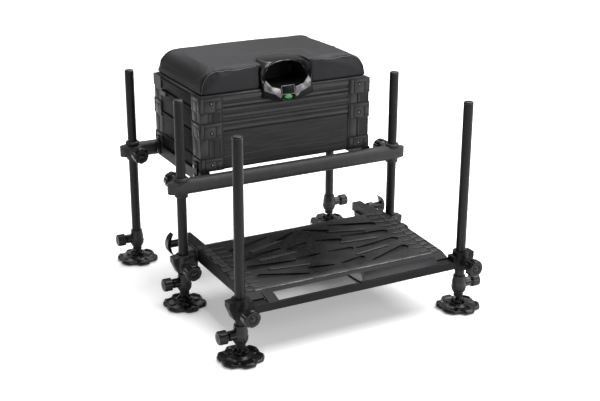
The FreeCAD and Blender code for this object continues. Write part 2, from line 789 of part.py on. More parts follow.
def latch_scoop():
    """Glossy scoop in the front of the seat, with a hand opening and the button pocket."""
    body = scoop_form(0)
    behind = block(-box_width, box_width, box_front - scoop_gap, box_rear,
                   box_bottom, box_top + board_thickness)
    over = scoop_top + 1
    x = -box_width
    ahead = scoop_face - 1
    lean = prism([Vector(x, scoop_face, scoop_bottom), Vector(x, scoop_face + scoop_lean, scoop_top),
                  Vector(x, ahead, over), Vector(x, ahead, scoop_bottom)], Vector(2 * box_width, 0, 0))
    half = hand_width / 2
    rim = [(0, hand_bottom), (half * 0.45, hand_bottom), (half * 0.86, hand_bottom + hand_height * 0.1),
           (half, hand_bottom + hand_height * 0.34), (half * 0.9, hand_bottom + hand_height * 0.66),
           (half * 0.62, hand_bottom + hand_height * 0.92), (half * 0.3, hand_bottom + hand_height),
           (0, hand_bottom + hand_height)]
    back = scoop_face + scoop_lean + hand_depth
    opening = Part.makeLoft([scoop_outline(rim, 1.0, scoop_face), scoop_outline(rim, 1.0, scoop_face + scoop_lean),
                             scoop_outline(rim, hand_taper, back)], True, True)
    pocket = block(-button_width / 2 - button_gap, button_width / 2 + button_gap, ahead, pocket_back,
                   button_middle - button_height / 2 - button_gap,
                   button_middle + button_height / 2 + button_gap)
    bore = rod(stub_diameter / 2 + sliding_clearance, Vector(0, scoop_face, button_middle),
               Vector(0, box_front, button_middle))
    return cut(body, [behind, lean, opening, pocket, bore])


def latch_lip():
    """Bright lip below the hand opening: a wing on each side of the button housing."""
    half = lip_width / 2
    inner = housing_width / 2
    low = box_top - lip_drop
    high = box_top + lip_top_rise
    span = high - low
    outline = [(inner - 1, low + span * 0.1), (inner + 4, low), (half * 0.52, low + span * 0.2),
               (half * 0.97, low + span * 0.46), (half, low + span * 0.76), (half * 0.9, high),
               (half * 0.66, hand_bottom + 4), (inner + 2, hand_bottom - 3)]
    along = Vector(0, scoop_slope, 1)
    out = Vector(0, -1, scoop_slope).normalize() * lip_thickness
    wings = []
    for side in (-1, 1):
        points = [Vector(side * x, scoop_face, scoop_bottom) + along * (z - scoop_bottom)
                  for x, z in outline]
        wings.append(prism(points, out))
    return wings


def release_button():
    """Push button with the stub that frees the catch."""
    back = button_front + button_depth
    cap = block(-button_width / 2, button_width / 2, button_front, back,
                button_middle - button_height / 2, button_middle + button_height / 2)
    cap = round_along(cap, Vector(0, 1, 0), button_height * 0.4)
    stub = rod(stub_diameter / 2, Vector(0, button_front, button_middle),
               Vector(0, back + stub_length, button_middle))
    return fuse([cap, stub])


def clamp_jaw(side, y, bottom, top):
    """Outer half of a leg clamp: an ear that narrows towards its lower end."""
    tip = leg_x + jaw_reach
    low = leg_x + leg_boss_diameter / 2
    near = y - jaw_depth / 2
    profile = [Vector(side * leg_x, near, top), Vector(side * tip, near, top - jaw_drop * 0.2),
               Vector(side * tip, near, top - jaw_drop), Vector(side * low, near, bottom),
               Vector(side * leg_x, near, bottom)]
    return prism(profile, Vector(0, jaw_depth, 0))


def carrier(side):
    """Casting that grips a front leg of the seat and carries the sliding arm."""
    inner = arm_centre - arm_width / 2 - sliding_clearance
    outer = arm_centre + arm_width / 2 + sliding_clearance
    front = seat_y - carrier_front
    rear = seat_y + carrier_rear
    floor = arm_bottom - sliding_clearance
    channel = side_block(side, inner - carrier_lip, outer + carrier_wall, front, rear,
                         floor - carrier_floor, arm_bottom + arm_height)
    channel = round_along(channel, Vector(1, 0, 0), carrier_floor * 0.5)
    room = side_block(side, inner, outer, front, rear, floor, arm_bottom + 2 * arm_height)
    above_lip = side_block(side, inner - carrier_lip, inner, front, rear,
                           floor + carrier_lip_height, arm_bottom + 2 * arm_height)
    middle = Vector(side * leg_x, seat_y, 0)
    boss = Part.makeCylinder(leg_boss_diameter / 2, carrier_height, middle + Vector(0, 0, carrier_bottom))
    web = side_block(side, outer + 1.0, leg_x, seat_y - leg_boss_diameter * 0.36,
                     seat_y + leg_boss_diameter * 0.36, carrier_bottom + 6.0,
                     carrier_bottom + carrier_height)
    knob_end = seat_y - leg_boss_diameter / 2 - knob_boss_length
    knob_boss = rod(knob_boss_diameter / 2, middle + Vector(0, 0, carrier_knob_height),
                    Vector(side * leg_x, knob_end, carrier_knob_height))
    tee_y = seat_y + tee_knob_setback
    tee_start = outer + carrier_wall * 0.5
    tee_end = outer + carrier_wall + tee_boss_length
    tee_boss = rod(knob_boss_diameter / 2, Vector(side * tee_start, tee_y, tee_knob_height),
                   Vector(side * tee_end, tee_y, tee_knob_height))
    leg_hole = Part.makeCylinder(bore_radius, 4 * carrier_height, middle)
    stud_hole = rod(stud_diameter / 2 + sliding_clearance, middle + Vector(0, 0, carrier_knob_height),
                    Vector(side * leg_x, knob_end - 1, carrier_knob_height))
    tee_hole = rod(stud_diameter / 2 + sliding_clearance, Vector(side * inner, tee_y, tee_knob_height),
                   Vector(side * (tee_end + 1), tee_y, tee_knob_height))
    jaw = clamp_jaw(side, seat_y, carrier_bottom, carrier_bottom + carrier_height)
    body = fuse([channel.cut(room).cut(above_lip), boss, jaw, web, knob_boss, tee_boss])
    return cut(body, [leg_hole, stud_hole, tee_hole])


def tee_knob(side):
    """Wing knob on the outer side of a carrier, whose stud locks the arm."""
    seat = arm_centre + arm_width / 2 + sliding_clearance + carrier_wall + tee_boss_length + knob_gap
    knob = wing_knob(seat - (arm_centre + arm_width / 2 + sliding_clearance))
    return turned(knob, Vector(side, 0, 0), Vector(side * seat, seat_y + tee_knob_setback, tee_knob_height))


def footplate_arms():
    """Square sliding arms of the footplate, each with a plug in its rear end."""
    pieces = []
    rear = seat_y + arm_rear_reach
    front = seat_y - side_rail_start - arm_socket_depth
    inner = arm_centre - arm_width / 2
    outer = arm_centre + arm_width / 2
    for side in (-1, 1):
        tube = side_block(side, inner, outer, front, rear, arm_bottom, arm_bottom + arm_height)
        bore = side_block(side, inner + arm_wall, outer - arm_wall, front, rear,
                          arm_bottom + arm_wall, arm_bottom + arm_height - arm_wall)
        plug = side_block(side, inner + arm_wall, outer - arm_wall, rear - plug_depth, rear,
                          arm_bottom + arm_wall, arm_bottom + arm_height - arm_wall)
        face = side_block(side, inner, outer, rear, rear + plug_face, arm_bottom, arm_bottom + arm_height)
        pieces.append(tube.cut(bore))
        pieces.append(fuse([plug, face]))
    return pieces


def plate_height(y):
    """Height of the sloping top of the footplate at a place along Y."""
    fall = (plate_rear_height - plate_front_height) / (plate_front - plate_rear)
    return plate_rear_height - fall * (seat_y - plate_rear - y)


def footplate_deck():
    """Sloping tread plate with slanted slots, a rear skirt and ribs below."""
    length = math.hypot(plate_front - plate_rear, plate_rear_height - plate_front_height)
    half = plate_rail_outer - plate_rail_width
    plate = block(-half, half, -length, 0, -plate_thickness, 0)
    skirt = block(-half, half, -plate_thickness, 0, -plate_skirt, -plate_thickness)
    ribs = []
    for i in range(deck_ribs):
        x = -half + (i + 0.5) * 2 * half / deck_ribs
        ribs.append(block(x - plate_rail_wall / 2, x + plate_rail_wall / 2, -length, -plate_thickness,
                          -plate_skirt, -plate_thickness))
    slots = []
    pitch = 2 * half / tread_columns
    run = pitch * 0.62
    for row in range(tread_rows):
        for column in range(tread_columns):
            x = -half + (column + 0.5) * pitch
            y = -length * (row + 0.5) / tread_rows
            slot = block(-run / 2, run / 2, -tread_slot_width / 2, tread_slot_width / 2, -tread_depth, 1)
            slot = round_along(slot, Vector(0, 0, 1), tread_slot_width * 0.45)
            lean = tread_angle if (row + column) % 2 else -tread_angle
            slot.rotate(Vector(0, 0, 0), Vector(0, 0, 1), lean)
            slot.translate(Vector(x, y, 0))
            slots.append(slot)
    body = cut(fuse([plate, skirt] + ribs), slots)
    tilt = math.degrees(math.asin((plate_rear_height - plate_front_height) / length))
    body.rotate(Vector(0, 0, 0), Vector(1, 0, 0), tilt)
    body.translate(Vector(0, seat_y - plate_rear, plate_rear_height))
    return body


def plate_side_rail(side):
    """Side rail of the footplate, with a socket for the arm in its rear end."""
    rear = seat_y - side_rail_start
    front = seat_y - beam_front + beam_depth
    knee = seat_y - plate_front
    beam_top = beam_bottom + beam_height
    start, stop = sorted((side * (plate_rail_outer - plate_rail_width), side * plate_rail_outer))
    outline = [Vector(start, rear, plate_rail_bottom), Vector(start, front, plate_rail_bottom),
               Vector(start, front, beam_top + kick_thickness), Vector(start, knee, plate_height(knee)),
               Vector(start, rear, plate_height(rear))]
    body = prism(outline, Vector(stop - start, 0, 0))
    socket = side_block(side, arm_centre - arm_width / 2, arm_centre + arm_width / 2,
                        rear - arm_socket_depth, rear, arm_bottom, arm_bottom + arm_height)
    hollow = side_block(side, plate_rail_outer - plate_rail_width + plate_rail_wall,
                        plate_rail_outer - plate_rail_wall, front + plate_rail_wall,
                        rear - arm_socket_depth - plate_rail_wall, plate_rail_bottom,
                        beam_top - plate_rail_wall)
    return cut(body, [socket, hollow])


def front_beam():
    """Rectangular tube across the front of the footplate."""
    front = seat_y - beam_front
    half = plate_rail_outer
    tube = block(-half, half, front, front + beam_depth, beam_bottom, beam_bottom + beam_height)
    bore = block(-half, half, front + beam_wall, front + beam_depth - beam_wall,
                 beam_bottom + beam_wall, beam_bottom + beam_height - beam_wall)
    return tube.cut(bore)


def kick_outline(x, offset, thickness, margin):
    """Section of a strip that lies along the sloping kick face, offset from it."""
    top_y = seat_y - plate_front
    top_z = plate_front_height
    low_y = seat_y - beam_front + 2.0
    low_z = beam_bottom + beam_height
    run = math.hypot(top_y - low_y, top_z - low_z)
    along = Vector(0, (low_y - top_y) / run, (low_z - top_z) / run)
    out = Vector(0, along.z, -along.y)
    start = Vector(x, top_y, top_z) + along * margin + out * offset
    stop = Vector(x, low_y, low_z) - along * margin + out * offset
    return [start, stop, stop + out * thickness, start + out * thickness]


def kick_panel():
    """Sloping panel between the deck and the front beam."""
    half = plate_rail_outer - plate_rail_width
    panel = prism(kick_outline(-half, -kick_thickness, kick_thickness, 0), Vector(2 * half, 0, 0))
    knee = seat_y - plate_front
    under_deck = block(-half, half, knee, knee + beam_depth, beam_bottom, plate_rear_height)
    beam = block(-half, half, seat_y - beam_front - 1, seat_y - beam_front + beam_depth,
                 beam_bottom, beam_bottom + beam_height)
    return cut(panel, [under_deck, beam])


def kick_strips():
    """Two long bright strips on the kick panel, with the divider between them."""
    pieces = []
    for side in (-1, 1):
        start = min(side * strip_gap / 2, side * (strip_gap / 2 + strip_length))
        outline = kick_outline(start, 0, strip_thickness, kick_margin)
        pieces.append(prism(outline, Vector(strip_length, 0, 0)))
    divider = kick_outline(-divider_width / 2, 0, divider_thickness, kick_margin)
    pieces.append(prism(divider, Vector(divider_width, 0, 0)))
    return pieces


def plate_clamp(side):
    """Casting at a front corner of the footplate that grips its leg."""
    middle = Vector(side * leg_x, plate_y, 0)
    boss = Part.makeCylinder(leg_boss_diameter / 2, plate_clamp_height,
                             middle + Vector(0, 0, plate_clamp_bottom))
    neck = side_block(side, plate_rail_outer, leg_x, seat_y - beam_front + 2.0,
                      seat_y - beam_front + beam_depth, beam_bottom, plate_front_height)
    knob_end = plate_y - leg_boss_diameter / 2 - knob_boss_length
    knob_boss = rod(knob_boss_diameter / 2, middle + Vector(0, 0, plate_knob_height),
                    Vector(side * leg_x, knob_end, plate_knob_height))
    leg_hole = Part.makeCylinder(bore_radius, 4 * plate_clamp_height, middle)
    stud_hole = rod(stud_diameter / 2 + sliding_clearance, middle + Vector(0, 0, plate_knob_height),
                    Vector(side * leg_x, knob_end - 1, plate_knob_height))
    jaw = clamp_jaw(side, plate_y, plate_clamp_bottom, plate_clamp_bottom + plate_clamp_height)
    return cut(fuse([boss, jaw, neck, knob_boss]), [leg_hole, stud_hole])


os.makedirs("parts", exist_ok=True)
corners = {
    "rear_left": (-leg_x, rear_y),
    "rear_right": (leg_x, rear_y),
    "seat_left": (-leg_x, seat_y),
    "seat_right": (leg_x, seat_y),
    "plate_left": (-leg_x, plate_y),
    "plate_right": (leg_x, plate_y),
}
for name, (x, y) in corners.items():
    save("leg_" + name, leg(x, y))
    save("stem_" + name, [stem(x, y)])
    save("foot_" + name, [foot(x, y)])
    save("stem_knob_" + name, [foot_knob(x, y)])

save("front_rail", rail(seat_y, 1))
save("rear_rail", rail(rear_y, -1))
save("side_rails", side_rails())
save("base_tub", [tier(box_bottom, base_tier_height, floor_thickness, False)])
save("middle_ring", [tier(mid_bottom, mid_tier_height, 0, True)] + lower_leaves(tray_axis_z))
save("top_tray", [fuse([tier(top_bottom, top_tier_height, floor_thickness, True)] + upper_leaves(
    tray_axis_z, top_bottom, top_bottom + hinge_leaf_thickness, box_rear - moulding_thickness - 1)
    + lower_leaves(lid_axis_z))])
save("base_corners", corner_mouldings(box_bottom, base_tier_height, box_bottom,
                                      box_bottom + base_clip_height, box_bottom))
save("middle_corners", corner_mouldings(mid_bottom, mid_tier_height, mid_bottom - clip_below,
                                        mid_bottom + clip_above, mid_bottom - clip_below))
save("top_corners", corner_mouldings(top_bottom, top_tier_height, top_bottom - clip_drop, box_top,
                                     top_bottom))
save("frame_screws", frame_bolts() + corner_screws([box_bottom + base_clip_height / 2, mid_bottom]))
save("top_corner_screws", corner_screws([top_bottom + top_tier_height / 2]))
save("side_lugs", side_lugs())
save("tray_hinge_pins", hinge_pins(tray_axis_z))
save("lid_hinge_pins", hinge_pins(lid_axis_z))
save("lid_board", [lid_board()])
save("seat_cushion", [cushion()])
save("latch_scoop", [latch_scoop()])
save("latch_lip", latch_lip())
save("release_button", [release_button()])
save("arm_carriers", [carrier(-1), carrier(1)])
save("footplate_arms", footplate_arms())
save("footplate_deck", [footplate_deck()])
save("footplate_frame", [plate_side_rail(-1), plate_side_rail(1), front_beam(), kick_panel(),
                         plate_clamp(-1), plate_clamp(1)])
save("kick_strips", kick_strips())

for side_name, side in (("left", -1), ("right", 1)):
    x = side * leg_x
    save("rail_knob_front_" + side_name, [clamp_knob(x, seat_y, rail_middle, 1, rail_knob_seat)])
    save("rail_knob_rear_" + side_name, [clamp_knob(x, rear_y, rail_middle, -1, rail_knob_seat)])
    save("carrier_knob_" + side_name,
         [clamp_knob(x, seat_y, carrier_knob_height, -1, boss_knob_seat)])
    save("plate_knob_" + side_name, [clamp_knob(x, plate_y, plate_knob_height, -1, boss_knob_seat)])
    save("tee_knob_" + side_name, [tee_knob(side)])
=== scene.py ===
import math

import bmesh
import bpy
from mathutils import Euler, Matrix, Vector


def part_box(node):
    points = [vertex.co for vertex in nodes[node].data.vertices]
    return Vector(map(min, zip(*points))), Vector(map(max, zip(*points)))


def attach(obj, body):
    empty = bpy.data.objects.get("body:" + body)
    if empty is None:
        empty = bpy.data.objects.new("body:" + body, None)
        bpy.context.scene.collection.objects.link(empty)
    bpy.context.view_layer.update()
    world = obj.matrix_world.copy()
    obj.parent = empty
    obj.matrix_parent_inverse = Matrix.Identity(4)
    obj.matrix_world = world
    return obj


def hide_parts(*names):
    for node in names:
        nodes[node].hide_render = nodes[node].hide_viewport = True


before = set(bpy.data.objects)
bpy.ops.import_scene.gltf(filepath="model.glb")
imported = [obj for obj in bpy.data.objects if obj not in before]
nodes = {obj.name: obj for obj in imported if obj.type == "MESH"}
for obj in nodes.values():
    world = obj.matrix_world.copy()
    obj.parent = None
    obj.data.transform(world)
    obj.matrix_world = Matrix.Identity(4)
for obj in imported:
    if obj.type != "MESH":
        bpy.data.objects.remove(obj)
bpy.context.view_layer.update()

# Camera.
# It stands in front of the left corner and looks down on the seat, as the photograph was taken.
# Its place, turns and lens come from marked points of the part in the photograph.
camera_place = (-1.3651, -2.6007, 1.3169)
camera_pitch = 20.137
camera_yaw = 28.042
camera_roll = -0.214
eye = bpy.data.cameras.new("camera")
eye.sensor_width = 36.0
eye.lens = 70.525
camera = bpy.data.objects.new("camera", eye)
camera.location = camera_place
camera.rotation_euler = Euler((math.radians(90 - camera_pitch), math.radians(camera_roll),
                               math.radians(-camera_yaw)), "XYZ")
bpy.context.scene.collection.objects.link(camera)
bpy.context.scene.camera = camera
bpy.context.scene.view_settings.view_transform = "Standard"


# Floor and studio light.
# A plain pale sweep under the part, broad soft lights over it and over the floor behind it, and a
# weaker one in front on the right, so the left end of the box falls into shade.
class Shade:
    """A socket of a material, used in sums like a number."""

    def __init__(self, tree, socket=None):
        self.tree = tree
        self.socket = socket

    def node(self, kind, settings=None, sockets=None, out=0):
        """Add one node with its settings, then its sockets' values or links."""
        made = self.tree.nodes.new(kind)
        for key, value in (settings or {}).items():
            setattr(made, key, value)
        for key, value in (sockets or {}).items():
            if isinstance(value, Shade):
                self.tree.links.new(value.socket, made.inputs[key])
            else:
                made.inputs[key].default_value = value
        return Shade(self.tree, made.outputs[out])

    def math(self, operation, first, second=0.0, clamp=False):
        return self.node("ShaderNodeMath", {"operation": operation, "use_clamp": clamp},
                         {0: first, 1: second})

    def __add__(self, other):
        return self.math("ADD", self, other)

    def __radd__(self, other):
        return self.math("ADD", other, self)

    def __sub__(self, other):
        return self.math("SUBTRACT", self, other)

    def __rsub__(self, other):
        return self.math("SUBTRACT", other, self)

    def __mul__(self, other):
        return self.math("MULTIPLY", self, other)

    def __rmul__(self, other):
        return self.math("MULTIPLY", other, self)

    def __truediv__(self, other):
        return self.math("DIVIDE", self, other)

    def __abs__(self):
        return self.math("ABSOLUTE", self)

    def axis(self, letter):
        """One coordinate of a place."""
        return self.node("ShaderNodeSeparateXYZ", {}, {0: self}, "XYZ".index(letter))

    def wave(self, pitch):
        """The place inside a repeat of a given pitch, from 0 to 1."""
        return self.math("FRACT", self / pitch)

    def step(self, low, high):
        """0 below low, 1 above high, smooth between them."""
        return self.node("ShaderNodeMapRange", {"interpolation_type": "SMOOTHSTEP"},
                         {0: self, 1: low, 2: high})

    def mix(self, first, second):
        """Blend two colours, with this value as the share of the second."""
        first = first if isinstance(first, Shade) else (*first, 1.0)
        second = second if isinstance(second, Shade) else (*second, 1.0)
        return self.node("ShaderNodeMix", {"data_type": "RGBA"}, {0: self, 6: first, 7: second}, 2)


def new_finish(name):
    """An empty material with its shader, and the place on the piece in metres."""
    material = bpy.data.materials.new(name)
    material.use_nodes = True
    here = Shade(material.node_tree).node("ShaderNodeTexCoord", out=3)
    return material, material.node_tree.nodes["Principled BSDF"], here


def feed(shader, **values):
    """Link or set the shader's sockets, named with underscores for spaces."""
    for key, value in values.items():
        socket = shader.inputs[key.replace("_", " ")]
        if isinstance(value, Shade):
            value.tree.links.new(value.socket, socket)
        else:
            socket.default_value = value


def noise_at(here, scale, detail=2.0, roughness=0.5, stretch=(1, 1, 1)):
    """Noise of a given scale per metre, stretched along an axis."""
    place = here.node("ShaderNodeMapping", {}, {"Vector": here, "Scale": stretch})
    return here.node("ShaderNodeTexNoise", {}, {"Vector": place, "Scale": scale, "Detail": detail,
                                                "Roughness": roughness})


def bump(height, strength, distance):
    return height.node("ShaderNodeBump", {}, {"Height": height, "Strength": strength,
                                              "Distance": distance})


def wipe_selection():
    bpy.ops.object.select_all(action="DESELECT")


def only(obj):
    """Select one piece alone and make it the active one."""
    wipe_selection()
    obj.select_set(True)
    bpy.context.view_layer.objects.active = obj


def paint(obj, material):
    """Give a piece or a carried-over node one material all over."""
    obj.data.materials.clear()
    obj.data.materials.append(material)


wipe_selection()
bpy.ops.mesh.primitive_plane_add(size=60, location=(0, 8, -0.0002))
floor = bpy.context.object
floor.name = "floor"
floor_finish, shader, here = new_finish("pale_floor")
shade = noise_at(here, 0.6).step(0.3, 0.7)
feed(shader, Base_Color=shade.mix((0.82, 0.82, 0.82), (0.84, 0.84, 0.84)),
     Roughness=0.9, Specular_IOR_Level=0.0, Emission_Color=(1.0, 1.0, 1.0, 1.0),
     Emission_Strength=0.3)
paint(floor, floor_finish)


def soft_light(name, size, place, aim, power):
    """A square area light that faces a point."""
    lamp = bpy.data.lights.new(name, "AREA")
    lamp.shape = "SQUARE"
    lamp.size = size
    lamp.energy = power
    light = bpy.data.objects.new(name, lamp)
    light.location = place
    light.rotation_euler = (Vector(aim) - Vector(place)).to_track_quat("-Z", "Y").to_euler()
    bpy.context.scene.collection.objects.link(light)


soft_light("overhead", 4.4, (1.6, 0.2, 3.6), (1.6, 0.2, 0), 370)
soft_light("sweep", 3.4, (1.0, 5.2, 3.8), (1.0, 5.2, 0), 80)
soft_light("front_right", 1.6, (2.2, -2.8, 1.6), (0, 0, 0.1), 56)
world = bpy.data.worlds.new("studio")
world.use_nodes = True
world.node_tree.nodes["Background"].inputs["Color"].default_value = (1.0, 1.0, 1.0, 1.0)
world.node_tree.nodes["Background"].inputs["Strength"].default_value = 0.29
bpy.context.scene.world = world


# Mud feet.
# Moulded discs with six petals, a rim, radial ribs and four claws that hold the ball of the stem.
# Each is one injection moulding in charcoal plastic, rubbed smooth on its raised edges.
def moulded_finish(name, tone, gloss, grain_scale=1800.0, grain_depth=0.25, shine=0.22):
    """Moulded plastic with a fine grain, faint flow shading and rubbed patches."""
    material, shader, here = new_finish(name)
    grain = noise_at(here, grain_scale, 2.0, 0.6)
    flow = noise_at(here, 9.0, 3.0, 0.5).step(0.35, 0.65)
    rubs = noise_at(here, 45.0, 4.0, 0.65).step(0.55, 0.75)
    dust = noise_at(here, 700.0, 2.0, 0.6).step(0.66, 0.76)
    wear = flow * 0.5 + rubs * 0.3 + dust * 0.25
    colour = wear.mix([c * 0.55 for c in tone], [c * 1.7 for c in tone])
    feed(shader, Base_Color=colour,
         Roughness=gloss + grain * 0.14 - rubs * 0.08,
         Normal=bump(grain, grain_depth, 0.0004),
         Specular_IOR_Level=shine)
    return material


def start_edit():
    """Open the active piece's mesh with all of it selected."""
    bpy.ops.object.mode_set(mode="EDIT")
    bpy.ops.mesh.select_all(action="SELECT")


def end_edit():
    """Turn all faces outwards and close the mesh."""
    bpy.ops.mesh.select_all(action="SELECT")
    bpy.ops.mesh.normals_make_consistent(inside=False)
    bpy.ops.object.mode_set(mode="OBJECT")


def grow(steps, upright=False, edges=False):
    """Extrude the selected faces, or open edges, up or towards -Y, and scale them, in steps."""
    extrude = bpy.ops.mesh.extrude_edges_move if edges else bpy.ops.mesh.extrude_region_move
    for rise, share in steps:
        extrude(TRANSFORM_OT_translate={"value": (0, -rise, 0) if upright else (0, 0, rise)})
        bpy.ops.transform.resize(value=(share, 1, share) if upright else (share, share, 1),
                                 center_override=(0, 0, 0))


def disc(corner_count, radius, steps=(), filled=True, upright=False, level=0.0):
    """A level circle, or one that faces -Y, grown in steps and left open for editing."""
    wipe_selection()
    bpy.ops.mesh.primitive_circle_add(vertices=corner_count, radius=radius, location=(0, 0, level),
                                      fill_type="NGON" if filled else "NOTHING",
                                      rotation=(math.radians(90) if upright else 0, 0, 0))
    bpy.ops.object.transform_apply()
    start_edit()
    grow(steps, upright, not filled)
    return bpy.context.object


def pick(obj, test):
    """In edit mode, select only the faces whose middle passes a test."""
    mesh = bmesh.from_edit_mesh(obj.data)
    for face in mesh.faces:
        face.select_set(False)
    for face in mesh.faces:
        if test(face.calc_center_median(), face.normal):
            face.select_set(True)
    mesh.select_flush_mode()
    bmesh.update_edit_mesh(obj.data)


def pick_corners(obj, test):
    """In edit mode, select only the vertices whose place passes a test."""
    bpy.ops.mesh.select_mode(type="VERT")
    mesh = bmesh.from_edit_mesh(obj.data)
    for vertex in mesh.verts:
        vertex.select_set(test(vertex.co))
    mesh.select_flush_mode()
    bmesh.update_edit_mesh(obj.data)


def modify(obj, kind, **settings):
    """Add a modifier with its settings and apply it."""
    only(obj)
    modifier = obj.modifiers.new(kind.lower(), kind)
    for key, value in settings.items():
        setattr(modifier, key, value)
    bpy.ops.object.modifier_apply(modifier=modifier.name)


def smooth(obj, angle=35):
    only(obj)
    bpy.ops.object.shade_smooth_by_angle(angle=math.radians(angle))


def copy_of(obj, name, matrix=Matrix.Identity(4)):
    """A copy with its own mesh, carried to its place inside the mesh."""
    twin = bpy.data.objects.new(name, obj.data.copy())
    twin.data.transform(matrix)
    if matrix.determinant() < 0:
        twin.data.flip_normals()
    bpy.context.scene.collection.objects.link(twin)
    return twin


def box_of(name):
    """Lowest and highest corner of a carried-over node."""
    low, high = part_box(name)
    return Vector(low), Vector(high)


def discard(*forms):
    for form in forms:
        bpy.data.objects.remove(form, do_unlink=True)


def turn_of(place):
    """Angle of a place round the vertical axis, in degrees from 0 to 360."""
    return math.degrees(math.atan2(place.y, place.x)) % 360


corners = ("rear_left", "rear_right", "seat_left", "seat_right", "plate_left", "plate_right")
leg_place = {}
for corner in corners:
    low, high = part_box("stem_" + corner)
    leg_place[corner] = (low[0] + high[0]) / 2, (low[1] + high[1]) / 2
foot_radius = 0.0575
petals = 6
petal_turn = 360 / petals
foot_finish = moulded_finish("foot_plastic", (0.0045, 0.0045, 0.005), 0.22, 1200.0, 0.3, 0.36)
foot_form = disc(72, foot_radius * 0.955, (
    (0.003, 1.047), (0.0045, 1.0), (0.003, 0.965), (0.0, 0.865), (-0.004, 0.958),
    (0.001, 0.52), (0.0055, 0.84), (0.002, 0.85), (0.0, 0.74), (-0.005, 0.9)))
for notch in range(petals):
    for spread, share in ((15, 0.955), (10, 0.95), (5, 0.965)):
        pick_corners(foot_form, lambda place: place.to_2d().length > 0.040
                     and abs((turn_of(place) - notch * petal_turn + 180) % 360 - 180) < spread)
        bpy.ops.transform.resize(value=(share, share, 1), center_override=(0, 0, 0))
bpy.ops.mesh.select_mode(type="FACE")
pick(foot_form, lambda place, normal: normal.z > 0.9 and 0.047 < place.to_2d().length < 0.056
     and place.z > 0.009 and abs((turn_of(place) - 30) % petal_turn - 30) > 17)
grow([(0.0028, 0.985)])
pick(foot_form, lambda place, normal: normal.z > 0.8 and 0.026 < place.to_2d().length < 0.045
     and 0.004 < place.z < 0.009 and (turn_of(place) + 5) % petal_turn < 10)
grow([(0.0042, 1.0)])
pick(foot_form, lambda place, normal: normal.z > 0.9 and 0.0125 < place.to_2d().length < 0.018
     and place.z > 0.012 and (turn_of(place) + 15) % 90 > 32)
grow(((0.006, 1.12), (0.003, 1.0), (0.002, 0.94)))
end_edit()
modify(foot_form, "SUBSURF", levels=1, render_levels=1)
smooth(foot_form, 40)
for corner in corners:
    pad = copy_of(foot_form, "mud_foot_" + corner, Matrix.Translation((*leg_place[corner], 0)))
    paint(pad, foot_finish)
    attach(pad, "foot_" + corner)
    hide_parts("foot_" + corner)
discard(foot_form)


# Telescopic stems.
# Thinner aluminium tubes inside the legs, anodised dark, with a ribbed neck and the ball that the
# foot turns on. Each slides out of its leg and is held by the knob on the leg's collar.
def tube_finish(name, tone, along, gloss=0.36, shine=0.25):
    """Dark anodising with fine drawing lines along the tube and faint rub marks."""
    material, shader, here = new_finish(name)
    stretch = [1.0 if axis == along else 30.0 for axis in "XYZ"]
    lines = noise_at(here, 60.0, 3.0, 0.6, stretch)
    rubs = noise_at(here, 22.0, 4.0, 0.6).step(0.56, 0.78)
    grain = noise_at(here, 2600.0, 1.0)
    colour = lines.step(0.3, 0.75) * 0.6 + rubs * 0.35
    feed(shader, Base_Color=colour.mix([c * 0.72 for c in tone], [c * 1.45 for c in tone]),
         Roughness=gloss + lines * 0.10 + rubs * 0.08,
         Normal=bump(grain * 0.35 + lines * 0.65, 0.14, 0.0003),
         Metallic=0.5, Specular_IOR_Level=shine)
    return material


stem_finish = tube_finish("stem_tube", (0.010, 0.010, 0.011), "Z", 0.3)
for corner in corners:
    paint(nodes["stem_" + corner], stem_finish)

# Leg tubes.
# Drawn aluminium tube, anodised dark, with a domed plastic cap pressed into its top and a
# moulded locking collar on its lower end. The rails and castings clamp round it.
cap_bottom = 0.549
collar_top = 0.092
leg_finish, shader, here = new_finish("leg_tube_cap_and_collar")
height = here.axis("Z")
plastic = height.step(cap_bottom - 0.0005, cap_bottom + 0.0005) + (1.0 - height.step(
    collar_top - 0.0005, collar_top + 0.0005))
lines = noise_at(here, 60.0, 3.0, 0.6, (30, 30, 1))
rubs = noise_at(here, 22.0, 4.0, 0.6).step(0.56, 0.78)
pits = noise_at(here, 2200.0, 2.0)
wear = lines.step(0.3, 0.75) * 0.6 + rubs * 0.3
metal_tone = wear.mix((0.008, 0.008, 0.009), (0.019, 0.019, 0.020))
plastic_tone = rubs.mix((0.005, 0.005, 0.006), (0.011, 0.011, 0.012))
feed(shader, Base_Color=plastic.mix(metal_tone, plastic_tone),
     Roughness=0.36 + lines * 0.12 - plastic * 0.22,
     Metallic=0.5 - plastic * 0.5,
     Normal=bump(pits * plastic + lines * (1.0 - plastic), 0.16, 0.0003),
     Specular_IOR_Level=0.3)
for corner in corners:
    paint(nodes["leg_" + corner], leg_finish)

# Ribbed collar bands.
# A moulded plastic band with upright ribs round the waist of each locking collar, where the hand
# grips it. It is one with the collar.
band_radius = 0.0186
band_low = 0.050
rib_finish = moulded_finish("collar_rib_plastic", (0.008, 0.008, 0.0085), 0.26, 1800.0, 0.25, 0.3)
band_form = disc(72, band_radius * 0.86, ((0.002, 1.07), (0.010, 1.08), (0.002, 0.94)),
                 filled=False, level=band_low)
pick(band_form, lambda place, normal: turn_of(place) % 20 < 9)
bpy.ops.mesh.select_mode(type="FACE")
bpy.ops.mesh.extrude_region_shrink_fatten(TRANSFORM_OT_shrink_fatten={"value": 0.0012})
end_edit()
modify(band_form, "SOLIDIFY", thickness=0.002, offset=-1)
smooth(band_form, 30)
for corner in corners:
    band = copy_of(band_form, "collar_band_" + corner, Matrix.Translation((*leg_place[corner], 0)))
    paint(band, rib_finish)
    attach(band, "leg_" + corner)
discard(band_form)

